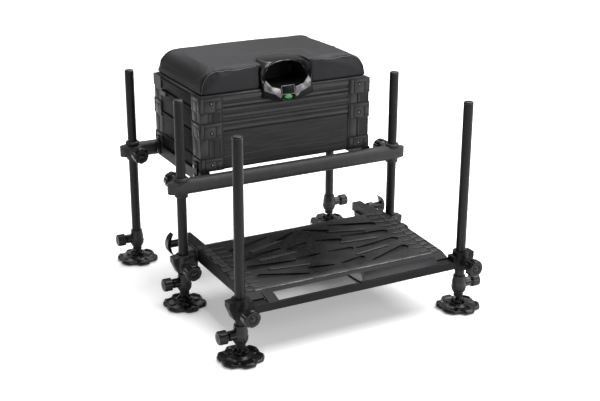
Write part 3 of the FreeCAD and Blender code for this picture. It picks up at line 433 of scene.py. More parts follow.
# Hand knobs.
# Fluted knobs in hard black plastic on steel studs, each with a domed cap pressed into its face.
# The large ones pull the clamps tight on the legs and the small ones lock the telescopic stems.
knob_finish = moulded_finish("knob_plastic", (0.004, 0.004, 0.0045), 0.18, 1400.0, 0.25, 0.26)
cap_finish = moulded_finish("knob_cap_plastic", (0.006, 0.006, 0.0065), 0.14, 900.0, 0.1, 0.3)
cap_sink = 0.12
cap_form = disc(48, 0.46, ((0.10, 1.0), (0.05, 0.92), (0.0, 0.84), (-0.05, 0.92), (0.08, 0.62),
                           (0.02, 0.5)))
end_edit()
smooth(cap_form, 40)
knobs = {}
for corner in corners:
    knobs["stem_knob_" + corner] = Vector((1 if corner.endswith("right") else -1, 0, 0))
for side in ("left", "right"):
    knobs["rail_knob_front_" + side] = Vector((0, 1, 0))
    for kind in ("rail_knob_rear_", "carrier_knob_", "plate_knob_"):
        knobs[kind + side] = Vector((0, -1, 0))
for name, way in knobs.items():
    paint(nodes[name], knob_finish)
    low, high = box_of(name)
    middle = (low + high) / 2
    radius = (high.z - low.z) / 2
    tip = high if way.x + way.y > 0 else low
    face = Vector((tip.x if way.x else middle.x, tip.y if way.y else middle.y, middle.z))
    face -= way * radius * cap_sink
    turned = way.to_track_quat("Z", "Y").to_matrix().to_4x4()
    cap = copy_of(cap_form, name + "_cap",
                  Matrix.Translation(face) @ turned @ Matrix.Scale(radius, 4))
    paint(cap, cap_finish)
    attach(cap, name)
discard(cap_form)
for side in ("left", "right"):
    paint(nodes["tee_knob_" + side], knob_finish)

# Frame rails.
# Two oval cross tubes, drawn in aluminium, whose cast leg clamps have rounded ends and a raised
# collar round each leg. The box stands on two square tubes, held by four bolted brackets.
def soften(name, width, angle=40):
    """Round the sharp edges of a carried-over node a little, as moulding and coating do."""
    flatten = nodes[name].modifiers.new("flatten", "DECIMATE")
    flatten.decimate_type = "DISSOLVE"
    flatten.angle_limit = math.radians(1.5)
    edges = nodes[name].modifiers.new("edges", "BEVEL")
    edges.width = width
    edges.segments = 2
    edges.limit_method = "ANGLE"
    edges.angle_limit = math.radians(angle)


def weld(obj, gap=0.00002, flat=0):
    """Join a copied node's loose triangles into one skin, and its flat ones into one face."""
    only(obj)
    start_edit()
    bpy.ops.mesh.remove_doubles(threshold=gap)
    if flat:
        bpy.ops.mesh.dissolve_limited(angle_limit=math.radians(flat))
    end_edit()


def joined(parts, name):
    """One piece made of several, under one name."""
    wipe_selection()
    for part in parts:
        part.select_set(True)
    bpy.context.view_layer.objects.active = parts[0]
    bpy.ops.object.join()
    parts[0].name = name
    return parts[0]


rail_finish = tube_finish("rail_tube", (0.045, 0.045, 0.046), "X", 0.50, 0.16)
side_rail_finish = tube_finish("side_rail_tube", (0.014, 0.014, 0.015), "Y", 0.42)
paint(nodes["side_rails"], side_rail_finish)
soften("side_rails", 0.0008)
rail_half = 0.020
round_from = leg_place["seat_right"][0] + 0.008
round_share = 0.30
collar_sink = 0.0004
ring_form = disc(48, 0.0190, ((0.0045, 0.97), (0.0020, 0.90), (0.0, 0.78)), filled=False)
end_edit()
smooth(ring_form, 50)
for name, row in (("front_rail", "seat"), ("rear_rail", "rear")):
    bar = copy_of(nodes[name], "oval_" + name)
    weld(bar)
    low, high = box_of(name)
    for vertex in bar.data.vertices:
        past = max(0, (abs(vertex.co.x) - round_from) / (high.x - round_from))
        vertex.co.z += (high.z - rail_half - vertex.co.z) * round_share * past ** 2
    bar.data.update()
    parts = [bar]
    for side in ("_left", "_right"):
        spot = Matrix.Translation((*leg_place[row + side], high.z - collar_sink))
        parts.append(copy_of(ring_form, "part", spot))
    bar = joined(parts, "oval_" + name)
    smooth(bar, 40)
    paint(bar, rail_finish)
    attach(bar, "seat_frame")
    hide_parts(name)
discard(ring_form)

# Box tiers.
# Moulded base tub, bottomless middle tier and top tray, with fine level ribs moulded in. Painted
# shade darkens the joints between the tiers and the gaps beside the corner mouldings, and handling
# has rubbed the rest.
tier_levels = (0.348, 0.4495, 0.5115, 0.5425)
panel_half = 0.187
panel_finish, shader, here = new_finish("box_panels")
place_x = here.axis("X")
place_z = here.axis("Z")
grain = noise_at(here, 1400.0, 2.0, 0.6)
streaks = noise_at(here, 12.0, 4.0, 0.6, (1, 1, 14))
# Painted shade: near-black lines where the panels meet the corner mouldings and along the tier
# joints.
away_from_painted_gap_shade = abs(abs(place_x) - (panel_half - 0.0012)).step(0.0014, 0.002)
for level in tier_levels[1:3]:
    away_from_painted_gap_shade = away_from_painted_gap_shade * abs(place_z - level).step(0.0013, 0.002)
colour = streaks.step(0.3, 0.7).mix((0.008, 0.008, 0.0085), (0.018, 0.018, 0.0185))
feed(shader, Base_Color=away_from_painted_gap_shade.mix((0.0008, 0.0008, 0.001), colour),
     Roughness=0.42 + grain * 0.12, Normal=bump(grain, 0.25, 0.0004),
     Specular_IOR_Level=0.2)
for name in ("base_tub", "middle_ring", "top_tray"):
    paint(nodes[name], panel_finish)

# Plain end panels.
# Smooth recessed panels moulded into both ends of the box, each with a ledge under its top joint.
corner_low, corner_high = box_of("base_corners")
half_width = 0.247
box_front = corner_low.y + 0.002
box_rear = corner_high.y - 0.002
walls = {"front": -box_front, "rear": box_rear}
corner_block = 0.056
joint_gap = 0.0012
ledge_drop = 0.0035
base_line = 0.382
panel_sink = 0.0022
ledge_sink = 0.0004
trim_finish = moulded_finish("moulded_trim", (0.006, 0.006, 0.0065), 0.45, 1500.0, 0.25, 0.06)


def slab(name, wide, tall, deep, bevel=0.0006, rim=0.0):
    """Bevelled plate in the XZ plane, centred, towards -Y. With a rim, only its border."""
    wipe_selection()
    bpy.ops.mesh.primitive_plane_add(size=1, rotation=(math.radians(90), 0, 0))
    made = bpy.context.object
    made.name = name
    made.scale = (wide, tall, 1)
    bpy.ops.object.transform_apply()
    start_edit()
    if rim:
        bpy.ops.mesh.inset(thickness=rim)
        bpy.ops.mesh.delete(type="FACE")
        bpy.ops.mesh.select_all(action="SELECT")
    bpy.ops.mesh.extrude_region_move(TRANSFORM_OT_translate={"value": (0, -deep, 0)})
    end_edit()
    modify(made, "BEVEL", width=bevel, segments=2, limit_method="ANGLE")
    smooth(made)
    return made


def on_face(facing, along, out, level):
    """Carry a form built towards -Y onto a wall of the box: front, rear, left or right."""
    turns = {"front": 0, "right": 90, "rear": 180, "left": -90}
    places = {"front": (along, -out), "rear": (along, out),
              "left": (-out, along), "right": (out, along)}
    turn = Matrix.Rotation(math.radians(turns[facing]), 4, "Z")
    return Matrix.Translation((*places[facing], level)) @ turn


panel_span = box_rear - box_front - 2 * corner_block
panel_middle = (box_front + box_rear) / 2
for tier, step, body in (("base", 0, "seat_frame"), ("middle", 1, "seat_frame"),
                         ("tray", 2, "upper_tray")):
    low, high = tier_levels[step] + joint_gap, tier_levels[step + 1] - joint_gap
    panel = slab("panel_form", panel_span, high - low, 0.0020)
    ledge = slab("ledge_form", panel_span, 0.0045, 0.0030, 0.0010)
    ledge_levels = [high - ledge_drop]
    if tier == "base":
        ledge_levels.append(base_line)
    parts = []
    for facing in ("left", "right"):
        place = on_face(facing, panel_middle, half_width - panel_sink, (low + high) / 2)
        parts.append(copy_of(panel, "part", place))
        for level in ledge_levels:
            place = on_face(facing, panel_middle, half_width - ledge_sink, level)
            parts.append(copy_of(ledge, "part", place))
    piece = joined(parts, tier + "_end_panels")
    paint(piece, trim_finish)
    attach(piece, body)
    discard(panel, ledge)

# Rib crests.
# Broad level ribs across the front and rear panels of the upper two tiers, and one thin line low on
# the base tub, painted paler than the panels as a painted highlight on their crests, and lighter
# towards the left end as painted sheen. They are moulded in one with their panels.
rib_finish, shader, here = new_finish("rib_crests_painted_sheen")
place_x = here.axis("X")
streaks = noise_at(here, 14.0, 4.0, 0.6, (1, 1, 16)).step(0.3, 0.7)
grain = noise_at(here, 1400.0, 2.0, 0.6)
# Painted sheen: lighter towards the left end, mixed with random streaks.
streaks_and_painted_sheen = streaks * 0.5 + (1.0 - place_x.step(-0.19, 0.12)) * 0.5
feed(shader, Base_Color=streaks_and_painted_sheen.mix((0.010, 0.010, 0.0105), (0.040, 0.040, 0.041)),
     Roughness=0.40 + grain * 0.14, Normal=bump(grain, 0.22, 0.0004),
     Specular_IOR_Level=0.3)
rib_span = 2 * panel_half - 0.005
rib_sink = 0.0021
thin_rib = 0.002
ribs = (("tray", "upper_tray", ((0.5350, 0.0100), (0.5178, 0.0060))),
        ("middle", "seat_frame", ((0.5058, 0.0052), (0.4880, 0.0068), (0.4798, 0.0018),
                                  (0.4702, 0.0042), (0.4566, 0.0066))),
        ("base", "seat_frame", ((0.3822, 0.0014),)))
for tier, body, rows in ribs:
    parts = []
    for level, tall in rows:
        rib = slab("rib_form", rib_span, tall, 0.0026 if tall > thin_rib else 0.0018,
                   min(0.0014, tall * 0.3))
        for facing, wall in walls.items():
            parts.append(copy_of(rib, "part", on_face(facing, 0, wall - rib_sink, level)))
        discard(rib)
    piece = joined(parts, tier + "_panel_ribs")
    paint(piece, rib_finish)
    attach(piece, body)

# Corner mouldings.
# Stacked moulded blocks on all four corners. Each clip across a joint between tiers has a raised
# face parted by an upright groove and a hooked groove, and plain recesses lie between the clips.
corner_finish = moulded_finish("corner_moulding", (0.010, 0.010, 0.0105), 0.36, 1600.0, 0.25)
# Painted highlight: the raised corner plates are a lighter copy of the moulding's plastic.
edge_finish = moulded_finish("raised_plates_painted_highlight", (0.021, 0.021, 0.0215), 0.32, 1600.0, 0.2, 0.3)
for name in ("base_corners", "middle_corners", "top_corners"):
    paint(nodes[name], corner_finish)
    soften(name, 0.0009)
front_clip_wide = 0.060
side_clip_wide = 0.049
front_clip_middle = half_width - 0.0285
side_clip_middle = 0.0245
clip_out = 0.002
plate_sink = 0.0001
clips = (("base", 0.348, 0.382, "seat_frame"), ("middle", 0.4345, 0.4755, "seat_frame"),
         ("tray", 0.5025, 0.5425, "upper_tray"))
recesses = (("base", 0.3825, 0.434, "seat_frame"), ("middle", 0.476, 0.502, "seat_frame"))
clip_plates = ((0.02, 0.17, 0.04, 0.96), (0.205, 0.98, 0.77, 0.96), (0.205, 0.70, 0.04, 0.73),
               (0.75, 0.98, 0.20, 0.73), (0.75, 0.98, 0.04, 0.145))
recess_plates = ((0.02, 0.36, 0.03, 0.97), (0.42, 0.50, 0.10, 0.90), (0.42, 0.98, 0.95, 1.0),
                 (0.93, 0.98, 0.03, 0.90))


def corner_places(facing):
    """Middle of the clip along a wall, and the wall's distance, for both of its corners."""
    if facing in walls:
        return [(-front_clip_middle, walls[facing]), (front_clip_middle, walls[facing])]
    return [(box_front + side_clip_middle, half_width), (box_rear - side_clip_middle, half_width)]


def corner_plates(tier, low, high, shares, out, deep):
    """Raised plates on the corner blocks of a tier, given as shares of a block's face."""
    parts = []
    for facing in ("front", "rear", "left", "right"):
        wide = front_clip_wide if facing in walls else side_clip_wide
        for left, right, bottom, top in shares:
            plate = slab("plate_form", (right - left) * wide, (top - bottom) * (high - low), deep,
                         0.0009)
            shift = Matrix.Translation((((left + right) / 2 - 0.5) * wide, 0,
                                        ((bottom + top) / 2 - 0.5) * (high - low)))
            for along, wall in corner_places(facing):
                at_rear = facing == "rear" or along > panel_middle and facing not in walls
                if tier == "tray" and at_rear:
                    continue
                place = on_face(facing, along, wall + out, (low + high) / 2)
                parts.append(copy_of(plate, "part", place @ shift))
            discard(plate)
    return parts


for kind, tiers, shares, out, deep in (
        ("_corner_clips", clips, clip_plates, clip_out - plate_sink, 0.0013),
        ("_corner_recesses", recesses, recess_plates, -plate_sink, 0.0011)):
    for tier, low, high, body in tiers:
        piece = joined(corner_plates(tier, low, high, shares, out, deep), tier + kind)
        paint(piece, edge_finish)
        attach(piece, body)


# Screws, lugs and hinges.
# Blackened steel screw heads with a turned face, in round wells of the corner mouldings painted
# near-black as painted shade, satin grey moulded lugs on the middle tier, and plain steel hinge
# pins.
def steel_finish(name, tone, gloss):
    """Plain or blackened steel with fine turning marks."""
    material, shader, here = new_finish(name)
    marks = noise_at(here, 900.0, 3.0, 0.6)
    feed(shader, Base_Color=marks.step(0.3, 0.7).mix([c * 0.7 for c in tone], tone),
         Roughness=gloss + marks * 0.15, Normal=bump(marks, 0.1, 0.0002),
         Metallic=1.0)
    return material


screw_finish = steel_finish("blackened_screws", (0.14, 0.14, 0.145), 0.12)
hinge_finish = steel_finish("hinge_steel", (0.45, 0.45, 0.46), 0.3)
lug_finish = moulded_finish("satin_lugs", (0.05, 0.05, 0.052), 0.38, 1400.0, 0.2, 0.35)
for name in ("frame_screws", "top_corner_screws"):
    paint(nodes[name], screw_finish)
for name in ("tray_hinge_pins", "lid_hinge_pins"):
    paint(nodes[name], hinge_finish)
paint(nodes["side_lugs"], lug_finish)
# Painted shade: near-black rings round the screw heads, in the wells of the mouldings.
well_finish = moulded_finish("screw_wells_painted_shade", (0.0015, 0.0015, 0.0016), 0.6)
well_form = disc(40, 0.0054, ((0.0003, 0.94), (0.0, 0.46), (-0.0003, 0.93)), filled=False,
                 upright=True)
end_edit()
smooth(well_form)
well_out = clip_out + 0.0014
well_along = 0.217
for tier, level, body in (("base", 0.365, "seat_frame"), ("middle", 0.4495, "seat_frame"),
                          ("tray", 0.527, "upper_tray")):
    parts = []
    for facing, wall in walls.items():
        if tier == "tray" and facing == "rear":
            continue
        for along in (-well_along, well_along):
            place = on_face(facing, along, wall + well_out, level)
            parts.append(copy_of(well_form, "part", place))
    piece = joined(parts, tier + "_screw_wells")
    paint(piece, well_finish)
    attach(piece, body)
discard(well_form)

# Lid board.
# Moulded board under the cushion, whose paler edge shows as a thin line above the top tray. It
# carries the hinge at the rear, and the cushion and the scoop are fixed to it.
board_finish = moulded_finish("lid_board", (0.055, 0.055, 0.058), 0.4, 1200.0, 0.2, 0.4)
paint(nodes["lid_board"], board_finish)

# Seat cushion.
# Foam block with rounded ends under a tight coated cloth, glued and stapled to the lid board. The
# cloth is pressed out by the foam, so the top is crowned and the sides pull in between the corners.
cushion_low, cushion_high = box_of("seat_cushion")
scoop_half = 0.074
scoop_back = 0.100
scoop_hold = 0.03
board_hold = 0.018
cloth_finish, shader, here = new_finish("coated_cloth")
pebble = here.node("ShaderNodeTexVoronoi", {"feature": "SMOOTH_F1"},
                   {"Vector": here, "Scale": 900.0})
creases = noise_at(here, 14.0, 4.0, 0.6)
flow = noise_at(here, 4.0, 2.0).step(0.35, 0.65)
# Painted shade: both ends of the cloth are darker, as the ends fall into shade.
painted_shade_ends = abs(here.axis("X")).step(0.215, 0.243)
weave = (flow * 0.6 + creases * 0.4).mix((0.0105, 0.0100, 0.0118), (0.0160, 0.0153, 0.0176))
feed(shader, Base_Color=painted_shade_ends.mix(weave, (0.0035, 0.0034, 0.0039)),
     Roughness=0.42 + pebble * 0.12, Normal=bump(pebble * 0.5 + creases * 0.5, 0.16, 0.0005),
     Sheen_Weight=0.02, Specular_IOR_Level=0.14)
cover = copy_of(nodes["seat_cushion"], "seat_cover")
weld(cover, 0.00005)
modify(cover, "REMESH", mode="VOXEL", voxel_size=0.0045)
modify(cover, "SMOOTH", factor=0.5, iterations=2)
at_rest = [vertex.co.copy() for vertex in cover.data.vertices]


def held_share(place):
    """1 where the cloth is fixed, at the board and round the scoop, 0 where it is free."""
    from_board = (place.z - cushion_low.z) / board_hold
    from_scoop = max((abs(place.x) - scoop_half) / scoop_hold,
                     (place.y - box_front - scoop_back) / scoop_hold)
    return 1 - max(0, min(1, from_board, from_scoop))


cloth_frames = 20
least_swell = 0.0005
free_swell = 0.0025
held = cover.vertex_groups.new(name="held")
for vertex in cover.data.vertices:
    held.add([vertex.index], held_share(vertex.co), "REPLACE")
cloth = cover.modifiers.new("cloth", "CLOTH")
cloth.settings.use_pressure = True
cloth.settings.uniform_pressure_force = 4
cloth.settings.effector_weights.gravity = 0
cloth.settings.vertex_group_mass = "held"
for moment in range(1, cloth_frames + 1):
    bpy.context.scene.frame_set(moment)
only(cover)
bpy.ops.object.modifier_apply(modifier="cloth")
for vertex, rest in zip(cover.data.vertices, at_rest):
    moved = vertex.co - rest
    cap = least_swell + free_swell * (1 - held_share(rest))
    if moved.length > cap:
        vertex.co = rest + moved * (cap / moved.length)
modify(cover, "SMOOTH", factor=0.5, iterations=3)
modify(cover, "SUBSURF", levels=1, render_levels=1)
smooth(cover, 60)
paint(cover, cloth_finish)
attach(cover, "lid")
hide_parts("seat_cushion")

# Cushion welts.
# A thin sewn welt that runs round the front and the rear face of the cushion, up each end and
# along the top, where the end-to-end panel of cloth meets the flat faces.
welt_radius = 0.0011
end_radius = 0.044
welt_finish, shader, here = new_finish("welt_cloth_painted_highlight")
stitches = here.axis("X").wave(0.004).step(0.3, 0.7)
nap = noise_at(here, 500.0, 2.0)
# Painted highlight: the welt is paler than the cloth, for the light line along the seam.
weave = (stitches * 0.4 + nap * 0.6).mix((0.016, 0.015, 0.017), (0.040, 0.039, 0.042))
feed(shader, Base_Color=weave,
     Roughness=0.4 + nap * 0.15, Normal=bump(stitches, 0.25, 0.0003))


def laid_tube(name, radius, host, spots, lift):
    """A thin round tube on the skin of a host, through places that each have a width share."""
    curve = bpy.data.curves.new(name, "CURVE")
    curve.dimensions = "3D"
    curve.bevel_depth = radius
    curve.bevel_resolution = 3
    line = curve.splines.new("POLY")
    line.points.add(len(spots) - 1)
    for point, (spot, share) in zip(line.points, spots):
        place, normal = host.closest_point_on_mesh(spot)[1:3]
        point.co = (*(place + normal * lift), 1)
        point.radius = share
    made = bpy.data.objects.new(name, curve)
    bpy.context.scene.collection.objects.link(made)
    only(made)
    bpy.ops.object.convert(target="MESH")
    made = bpy.context.object
    made.name = name
    smooth(made, 60)
    return made


base_half = (cushion_high.x - cushion_low.x) / 2
flat_half = base_half - 0.003 - end_radius
shoulder = cushion_high.z - 0.004 - end_radius
scoop_clear = 0.006
welt_in = 0.004
welt_steps = 8
for end, side, wall in (("front", -1, cushion_low.y), ("rear", 1, cushion_high.y)):
    for hand, name in ((-1, "left"), (1, "right")):
        outline = [(base_half, cushion_low.z + 0.002), (base_half - 0.002, shoulder)]
        for turn in range(15, 91, 15):
            angle = math.radians(turn)
            outline.append((flat_half + end_radius * math.cos(angle),
                            shoulder + end_radius * math.sin(angle)))
        stop = scoop_half + scoop_clear if end == "front" else 0.0
        for share in (0.25, 0.5, 0.75, 1.0):
            outline.append((flat_half + (stop - flat_half) * share, cushion_high.z - 0.002))
        spots = []
        for (x0, z0), (x1, z1) in zip(outline, outline[1:]):
            for step in range(welt_steps):
                x = x0 + (x1 - x0) * step / welt_steps
                z = z0 + (z1 - z0) * step / welt_steps
                spots.append((Vector((hand * x, wall + side * welt_in, z)), 1.0))
        welt = laid_tube("seat_welt_" + end + "_" + name, welt_radius, cover, spots,
                         welt_radius * 0.3)
        paint(welt, welt_finish)
        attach(welt, "lid")

# Latch scoop.
# Glossy black moulding let into the front of the cushion: a hood over a deep hand opening, with
# soft rims, and an apron that covers the catch. It is one injection moulding, screwed to the board.
scoop_finish, shader, here = new_finish("glossy_scoop")
ripple = noise_at(here, 30.0, 2.0)
specks = noise_at(here, 900.0, 2.0).step(0.62, 0.75)
hood_low = box_of("latch_scoop")[0]
opening_middle = 0.5785
opening_wide = 0.061
opening_tall = 0.0325
face_lean = math.atan(0.20)
depth = here.axis("Y") - hood_low.y
# Painted shade: the inside of the hand opening is made near-black.
inside = depth.step(0.016, 0.022) * (1.0 - here.axis("Z").step(0.610, 0.612))
# Painted highlight: a pale patch on the upper left of the flared rim stands in for a glint.
glint_place = (-0.047, 0.036, 0.603)
from_glint = here.node("ShaderNodeVectorMath", {"operation": "DISTANCE"},
                       {0: here, 1: glint_place}, 1)
glint = 1.0 - from_glint.step(0.003, 0.015)
black = ripple.mix((0.0012, 0.0012, 0.0016), (0.003, 0.003, 0.0036))
tone_with_painted_glint = glint.mix(black, (0.45, 0.45, 0.46))
feed(shader, Base_Color=inside.mix(tone_with_painted_glint, (0.0003, 0.0003, 0.0004)),
     Roughness=0.08 + specks * 0.12 + ripple * 0.06 + inside * 0.6,
     Normal=bump(ripple, 0.04, 0.001),
     Specular_IOR_Level=0.15)
hood = copy_of(nodes["latch_scoop"], "scoop_hood")
weld(hood)
modify(hood, "REMESH", mode="VOXEL", voxel_size=0.0011)
flare_share = 0.32
flare_deep = 0.022
flare_height = 0.0075
flare_from, flare_blend = 0.556, 0.016
crown_from, crown_blend = 0.598, 0.012
for vertex in hood.data.vertices:
    place = vertex.co
    behind = place.y - hood_low.y - math.tan(face_lean) * (place.z - hood_low.z)
    ring = math.hypot(place.x / opening_wide, (place.z - opening_middle) / opening_tall)
    flare = max(0, 1 - abs(ring - 1) / flare_share) * max(0, 1 - behind / flare_deep)
    flare *= max(0, min(1, (place.z - flare_from) / flare_blend))
    vertex.co.y += flare_height * flare ** 2
    crown = max(0, min(1, (place.z - crown_from) / crown_blend))
    fall = 0.0036 * (place.x / 0.07) ** 2 + 0.0030 * ((place.y - 0.070) / 0.045) ** 2
    vertex.co.z -= crown * fall
modify(hood, "SMOOTH", factor=0.5, iterations=9)
smooth(hood, 60)
paint(hood, scoop_finish)
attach(hood, "lid")
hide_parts("latch_scoop")
# Painted highlight: a thin silver bead along the upper rim of the opening, thickest left of the
# middle.
bead_steps = 36
spots = []
for step in range(bead_steps + 1):
    turn = math.radians(20 + 140 * step / bead_steps)
    x = opening_wide * 0.97 * math.cos(turn)
    z = opening_middle + opening_tall * 0.97 * math.sin(turn)
    spot = Vector((x, hood_low.y + math.tan(face_lean) * (z - hood_low.z), z))
    spots.append((spot, 0.25 + 0.75 * max(0, 1 - abs(x + 0.018) / 0.045)))
rim = laid_tube("scoop_rim_painted_highlight", 0.0009, hood, spots, 0.0003)

# Latch lip.
# Two silver-grey wings of pressed strip below the hand opening, and a bright silver bead along the
# rim above it, a painted highlight on the black rim. Both lie on the scoop.
lip_finish, shader, here = new_finish("silver_lip")
ripple = noise_at(here, 60.0, 3.0)
feed(shader, Base_Color=ripple.step(0.3, 0.7).mix((0.05, 0.05, 0.053), (0.19, 0.19, 0.195)),
     Roughness=0.30 + ripple * 0.1, Normal=bump(ripple, 0.10, 0.0008),
     Metallic=0.8)
paint(rim, lip_finish)
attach(rim, "lid")
wings = copy_of(nodes["latch_lip"], "silver_wings")
weld(wings, flat=2)
modify(wings, "BEVEL", width=0.0012, segments=3, limit_method="ANGLE")
smooth(wings)
paint(wings, lip_finish)
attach(wings, "lid")
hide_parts("latch_lip")

# Release button and its housing.
# Translucent green oval button that is pushed in to free the catch, under a black block with a
# thin bright outline, both set between the wings on the leaning face of the scoop.
button_low, button_high = box_of("release_button")
button_middle = (button_low + button_high) / 2
button_finish, shader, here = new_finish("green_button")
cloud = noise_at(here, 90.0, 2.0)
feed(shader, Base_Color=cloud.mix((0.012, 0.13, 0.025), (0.03, 0.24, 0.05)),
     Roughness=0.18 + cloud * 0.1, Normal=bump(cloud, 0.06, 0.0005))
button_depth = 0.0034
button = disc(48, 1, ((button_depth - 0.0024, 1.0), (0.0013, 0.93), (0.0007, 0.76),
                      (0.0004, 0.4)), upright=True)
button.name = "button_cap"
end_edit()
button.data.transform(Matrix.Diagonal((0.0118, 1, 0.0058, 1)))
button.data.transform(Matrix.Translation((0, button_low.y + button_depth, button_middle.z)))
smooth(button, 50)
paint(button, button_finish)
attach(button, "release_button")
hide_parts("release_button")
housing_finish = moulded_finish("housing_plastic", (0.003, 0.003, 0.0035), 0.3, 1500.0, 0.15, 0.08)
housing = slab("button_housing", 0.036, 0.021, 0.0016, 0.0008)
rim_line = slab("housing_outline", 0.039, 0.024, 0.0022, 0.0004, rim=0.0017)
housing_back = 0.0057
housing_up = 0.0175
housing_spot = Matrix.Translation((0, button_low.y + housing_back, button_middle.z + housing_up))
housing_place = housing_spot @ Matrix.Rotation(-face_lean, 4, "X")
for piece, look, slot_name in ((housing, housing_finish, "scoop_gloss"),
                               (rim_line, lip_finish, "lip_silver")):
    piece.data.transform(housing_place)
    paint(piece, look)
    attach(piece, "lid")

# Arm carriers.
# Cast aluminium blocks, coated black, that grip the front legs of the seat and hold the sliding
# arms of the footplate. The castings have soft edges from the die and from the coating.
def cast_copy(node, name, voxel, rounds):
    """A copy of a CAD casting with its edges rounded over as a casting's are."""
    made = copy_of(nodes[node], name)
    weld(made)
    modify(made, "REMESH", mode="VOXEL", voxel_size=voxel)
    modify(made, "SMOOTH", factor=0.5, iterations=rounds)
    smooth(made, 60)
    return made


casting_finish = moulded_finish("coated_casting", (0.014, 0.014, 0.0145), 0.34, 1200.0, 0.3, 0.3)
carriers = cast_copy("arm_carriers", "cast_carriers", 0.0016, 4)
paint(carriers, casting_finish)
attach(carriers, "arm_carriers")
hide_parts("arm_carriers")

# Footplate arms.
# Square aluminium tubes, anodised dark, with a moulded plug pressed into the rear end of each.
arm_finish = tube_finish("arm_tube", (0.014, 0.014, 0.015), "Y", 0.38)
paint(nodes["footplate_arms"], arm_finish)
soften("footplate_arms", 0.0010)

# Footplate frame.
# Side rails, front beam, kick panel and two leg clamps of the footplate, joined into one rigid
# frame and coated black. The clamps hold the footplate's own legs with a knob each.
frame_finish = moulded_finish("coated_frame", (0.008, 0.008, 0.0085), 0.42, 1200.0, 0.3, 0.12)
paint(nodes["footplate_frame"], frame_finish)
soften("footplate_frame", 0.0016)

# Tread plate.
# Moulded charcoal plate with a cast-in grip pattern: rows of long tapered grooves that fan out from
# the middle, raised bars between them, and short grip bars along both edges.
deck_low, deck_high = box_of("footplate_deck")
deck_half = deck_high.x + 0.0115
deck_rear = deck_high.y
deck_front = deck_low.y
deck_fall = math.atan(14 / 288)
deck_length = (deck_rear - deck_front) / math.cos(deck_fall) - 0.0008
deck_thick = 0.005
top_rear = deck_high.z + 0.001
groove_depth = 0.0034
tread_finish, shader, here = new_finish("tread_plate")
scuffs = noise_at(here, 30.0, 5.0, 0.7, (1, 6, 6)).step(0.45, 0.75)
cloudy = noise_at(here, 7.0, 3.0, 0.6).step(0.3, 0.7)
grain = noise_at(here, 1500.0, 2.0, 0.6)
surface = top_rear - (deck_rear - here.axis("Y")) * math.tan(deck_fall)
height = here.axis("Z") - surface
worn = (scuffs * 0.45 + cloudy * 0.4).mix((0.0050, 0.0050, 0.0055), (0.016, 0.016, 0.0165))
crest = height.step(0.0006, 0.0022).mix(worn, (0.018, 0.018, 0.0185))
# Painted shade: the floors of the grooves are near-black.
feed(shader, Base_Color=height.step(-0.0022, -0.0006).mix((0.0014, 0.0014, 0.0015), crest),
     Roughness=0.20 + grain * 0.1 + cloudy * 0.16 - scuffs * 0.05, Normal=bump(grain, 0.18, 0.0004),
     Specular_IOR_Level=0.35)


def stroke(wide, narrow, long, deep, below):
    """Tapered bar along X with round ends, from a depth below the surface to a height above."""
    made = disc(16, 0.5)
    for sign, width in ((-1, wide), (1, narrow)):
        pick_corners(made, lambda place: place.x * sign > 0.01 or abs(place.x) <= 0.01 and sign < 0)
        bpy.ops.transform.resize(value=(width, width, 1), center_override=(0, 0, 0))
        bpy.ops.transform.translate(value=(sign * long / 2, 0, 0))
    bpy.ops.mesh.select_mode(type="FACE")
    bpy.ops.mesh.select_all(action="SELECT")
    bpy.ops.transform.translate(value=(0, 0, -below))
    bpy.ops.mesh.extrude_region_move(TRANSFORM_OT_translate={"value": (0, 0, below + deep)})
    end_edit()
    return made


def laid(hand, x, y, lean):
    """Place of a bar or groove on the left half of the plate, or its mirror on the right."""
    flip = Matrix.Diagonal((-hand, 1, 1, 1))
    return flip @ Matrix.Translation((x, y, 0)) @ Matrix.Rotation(math.radians(lean), 4, "Z")


wipe_selection()
bpy.ops.mesh.primitive_plane_add(size=1)
deck = bpy.context.object
deck.scale = (2 * deck_half, deck_length, 1)
deck.location = (0, -deck_length / 2, 0)
bpy.ops.object.transform_apply()
start_edit()
bpy.ops.mesh.extrude_region_move(TRANSFORM_OT_translate={"value": (0, 0, -deck_thick)})
end_edit()
modify(deck, "BEVEL", width=0.0012, segments=3, limit_method="ANGLE")
groove = stroke(0.024, 0.007, 0.118, 0.002, groove_depth)
short_groove = stroke(0.018, 0.005, 0.062, 0.002, groove_depth)
ridge = stroke(0.013, 0.004, 0.100, 0.0026, 0.001)
edge_bar = stroke(0.006, 0.006, 0.024, 0.0018, 0.001)
modify(ridge, "BEVEL", width=0.0010, segments=2, limit_method="ANGLE")
modify(edge_bar, "BEVEL", width=0.0007, segments=2, limit_method="ANGLE")
rows = ((-0.046, 20), (-0.112, 9), (-0.178, -4), (-0.244, -17))
edge_bars = 11
edge_bar_in = 0.016
cutters = []
bars = []
for order, (y, lean) in enumerate(rows):
    for hand in (-1, 1):
        cutters.append(copy_of(groove, "cut", laid(hand, -0.150, y, lean)))
        cutters.append(copy_of(short_groove, "cut", laid(hand, -0.043, y + 0.004, lean + 10)))
        if order < 3:
            bars.append(copy_of(ridge, "bar", laid(hand, -0.118, y - 0.032, lean - 6)))
for step in range(edge_bars):
    y = -deck_length * (step + 0.5) / edge_bars
    for hand in (-1, 1):
        spot = Matrix.Translation((hand * (deck_half - edge_bar_in), y, 0))
        bars.append(copy_of(edge_bar, "bar", spot))
cutter = joined(cutters, "cutter")
modify(deck, "BOOLEAN", object=cutter, operation="DIFFERENCE", solver="EXACT", use_self=True)
discard(cutter, groove, short_groove, ridge, edge_bar)
skirt_tall = 0.012
skirt_in = 0.0045
skirt = slab("skirt_form", 2 * deck_half, skirt_tall, 0.004)
skirt_spot = Matrix.Translation((0, -skirt_in, 0.0005 - deck_thick - skirt_tall / 2))
skirt.data.transform(skirt_spot @ Matrix.Rotation(math.pi, 4, "Z"))
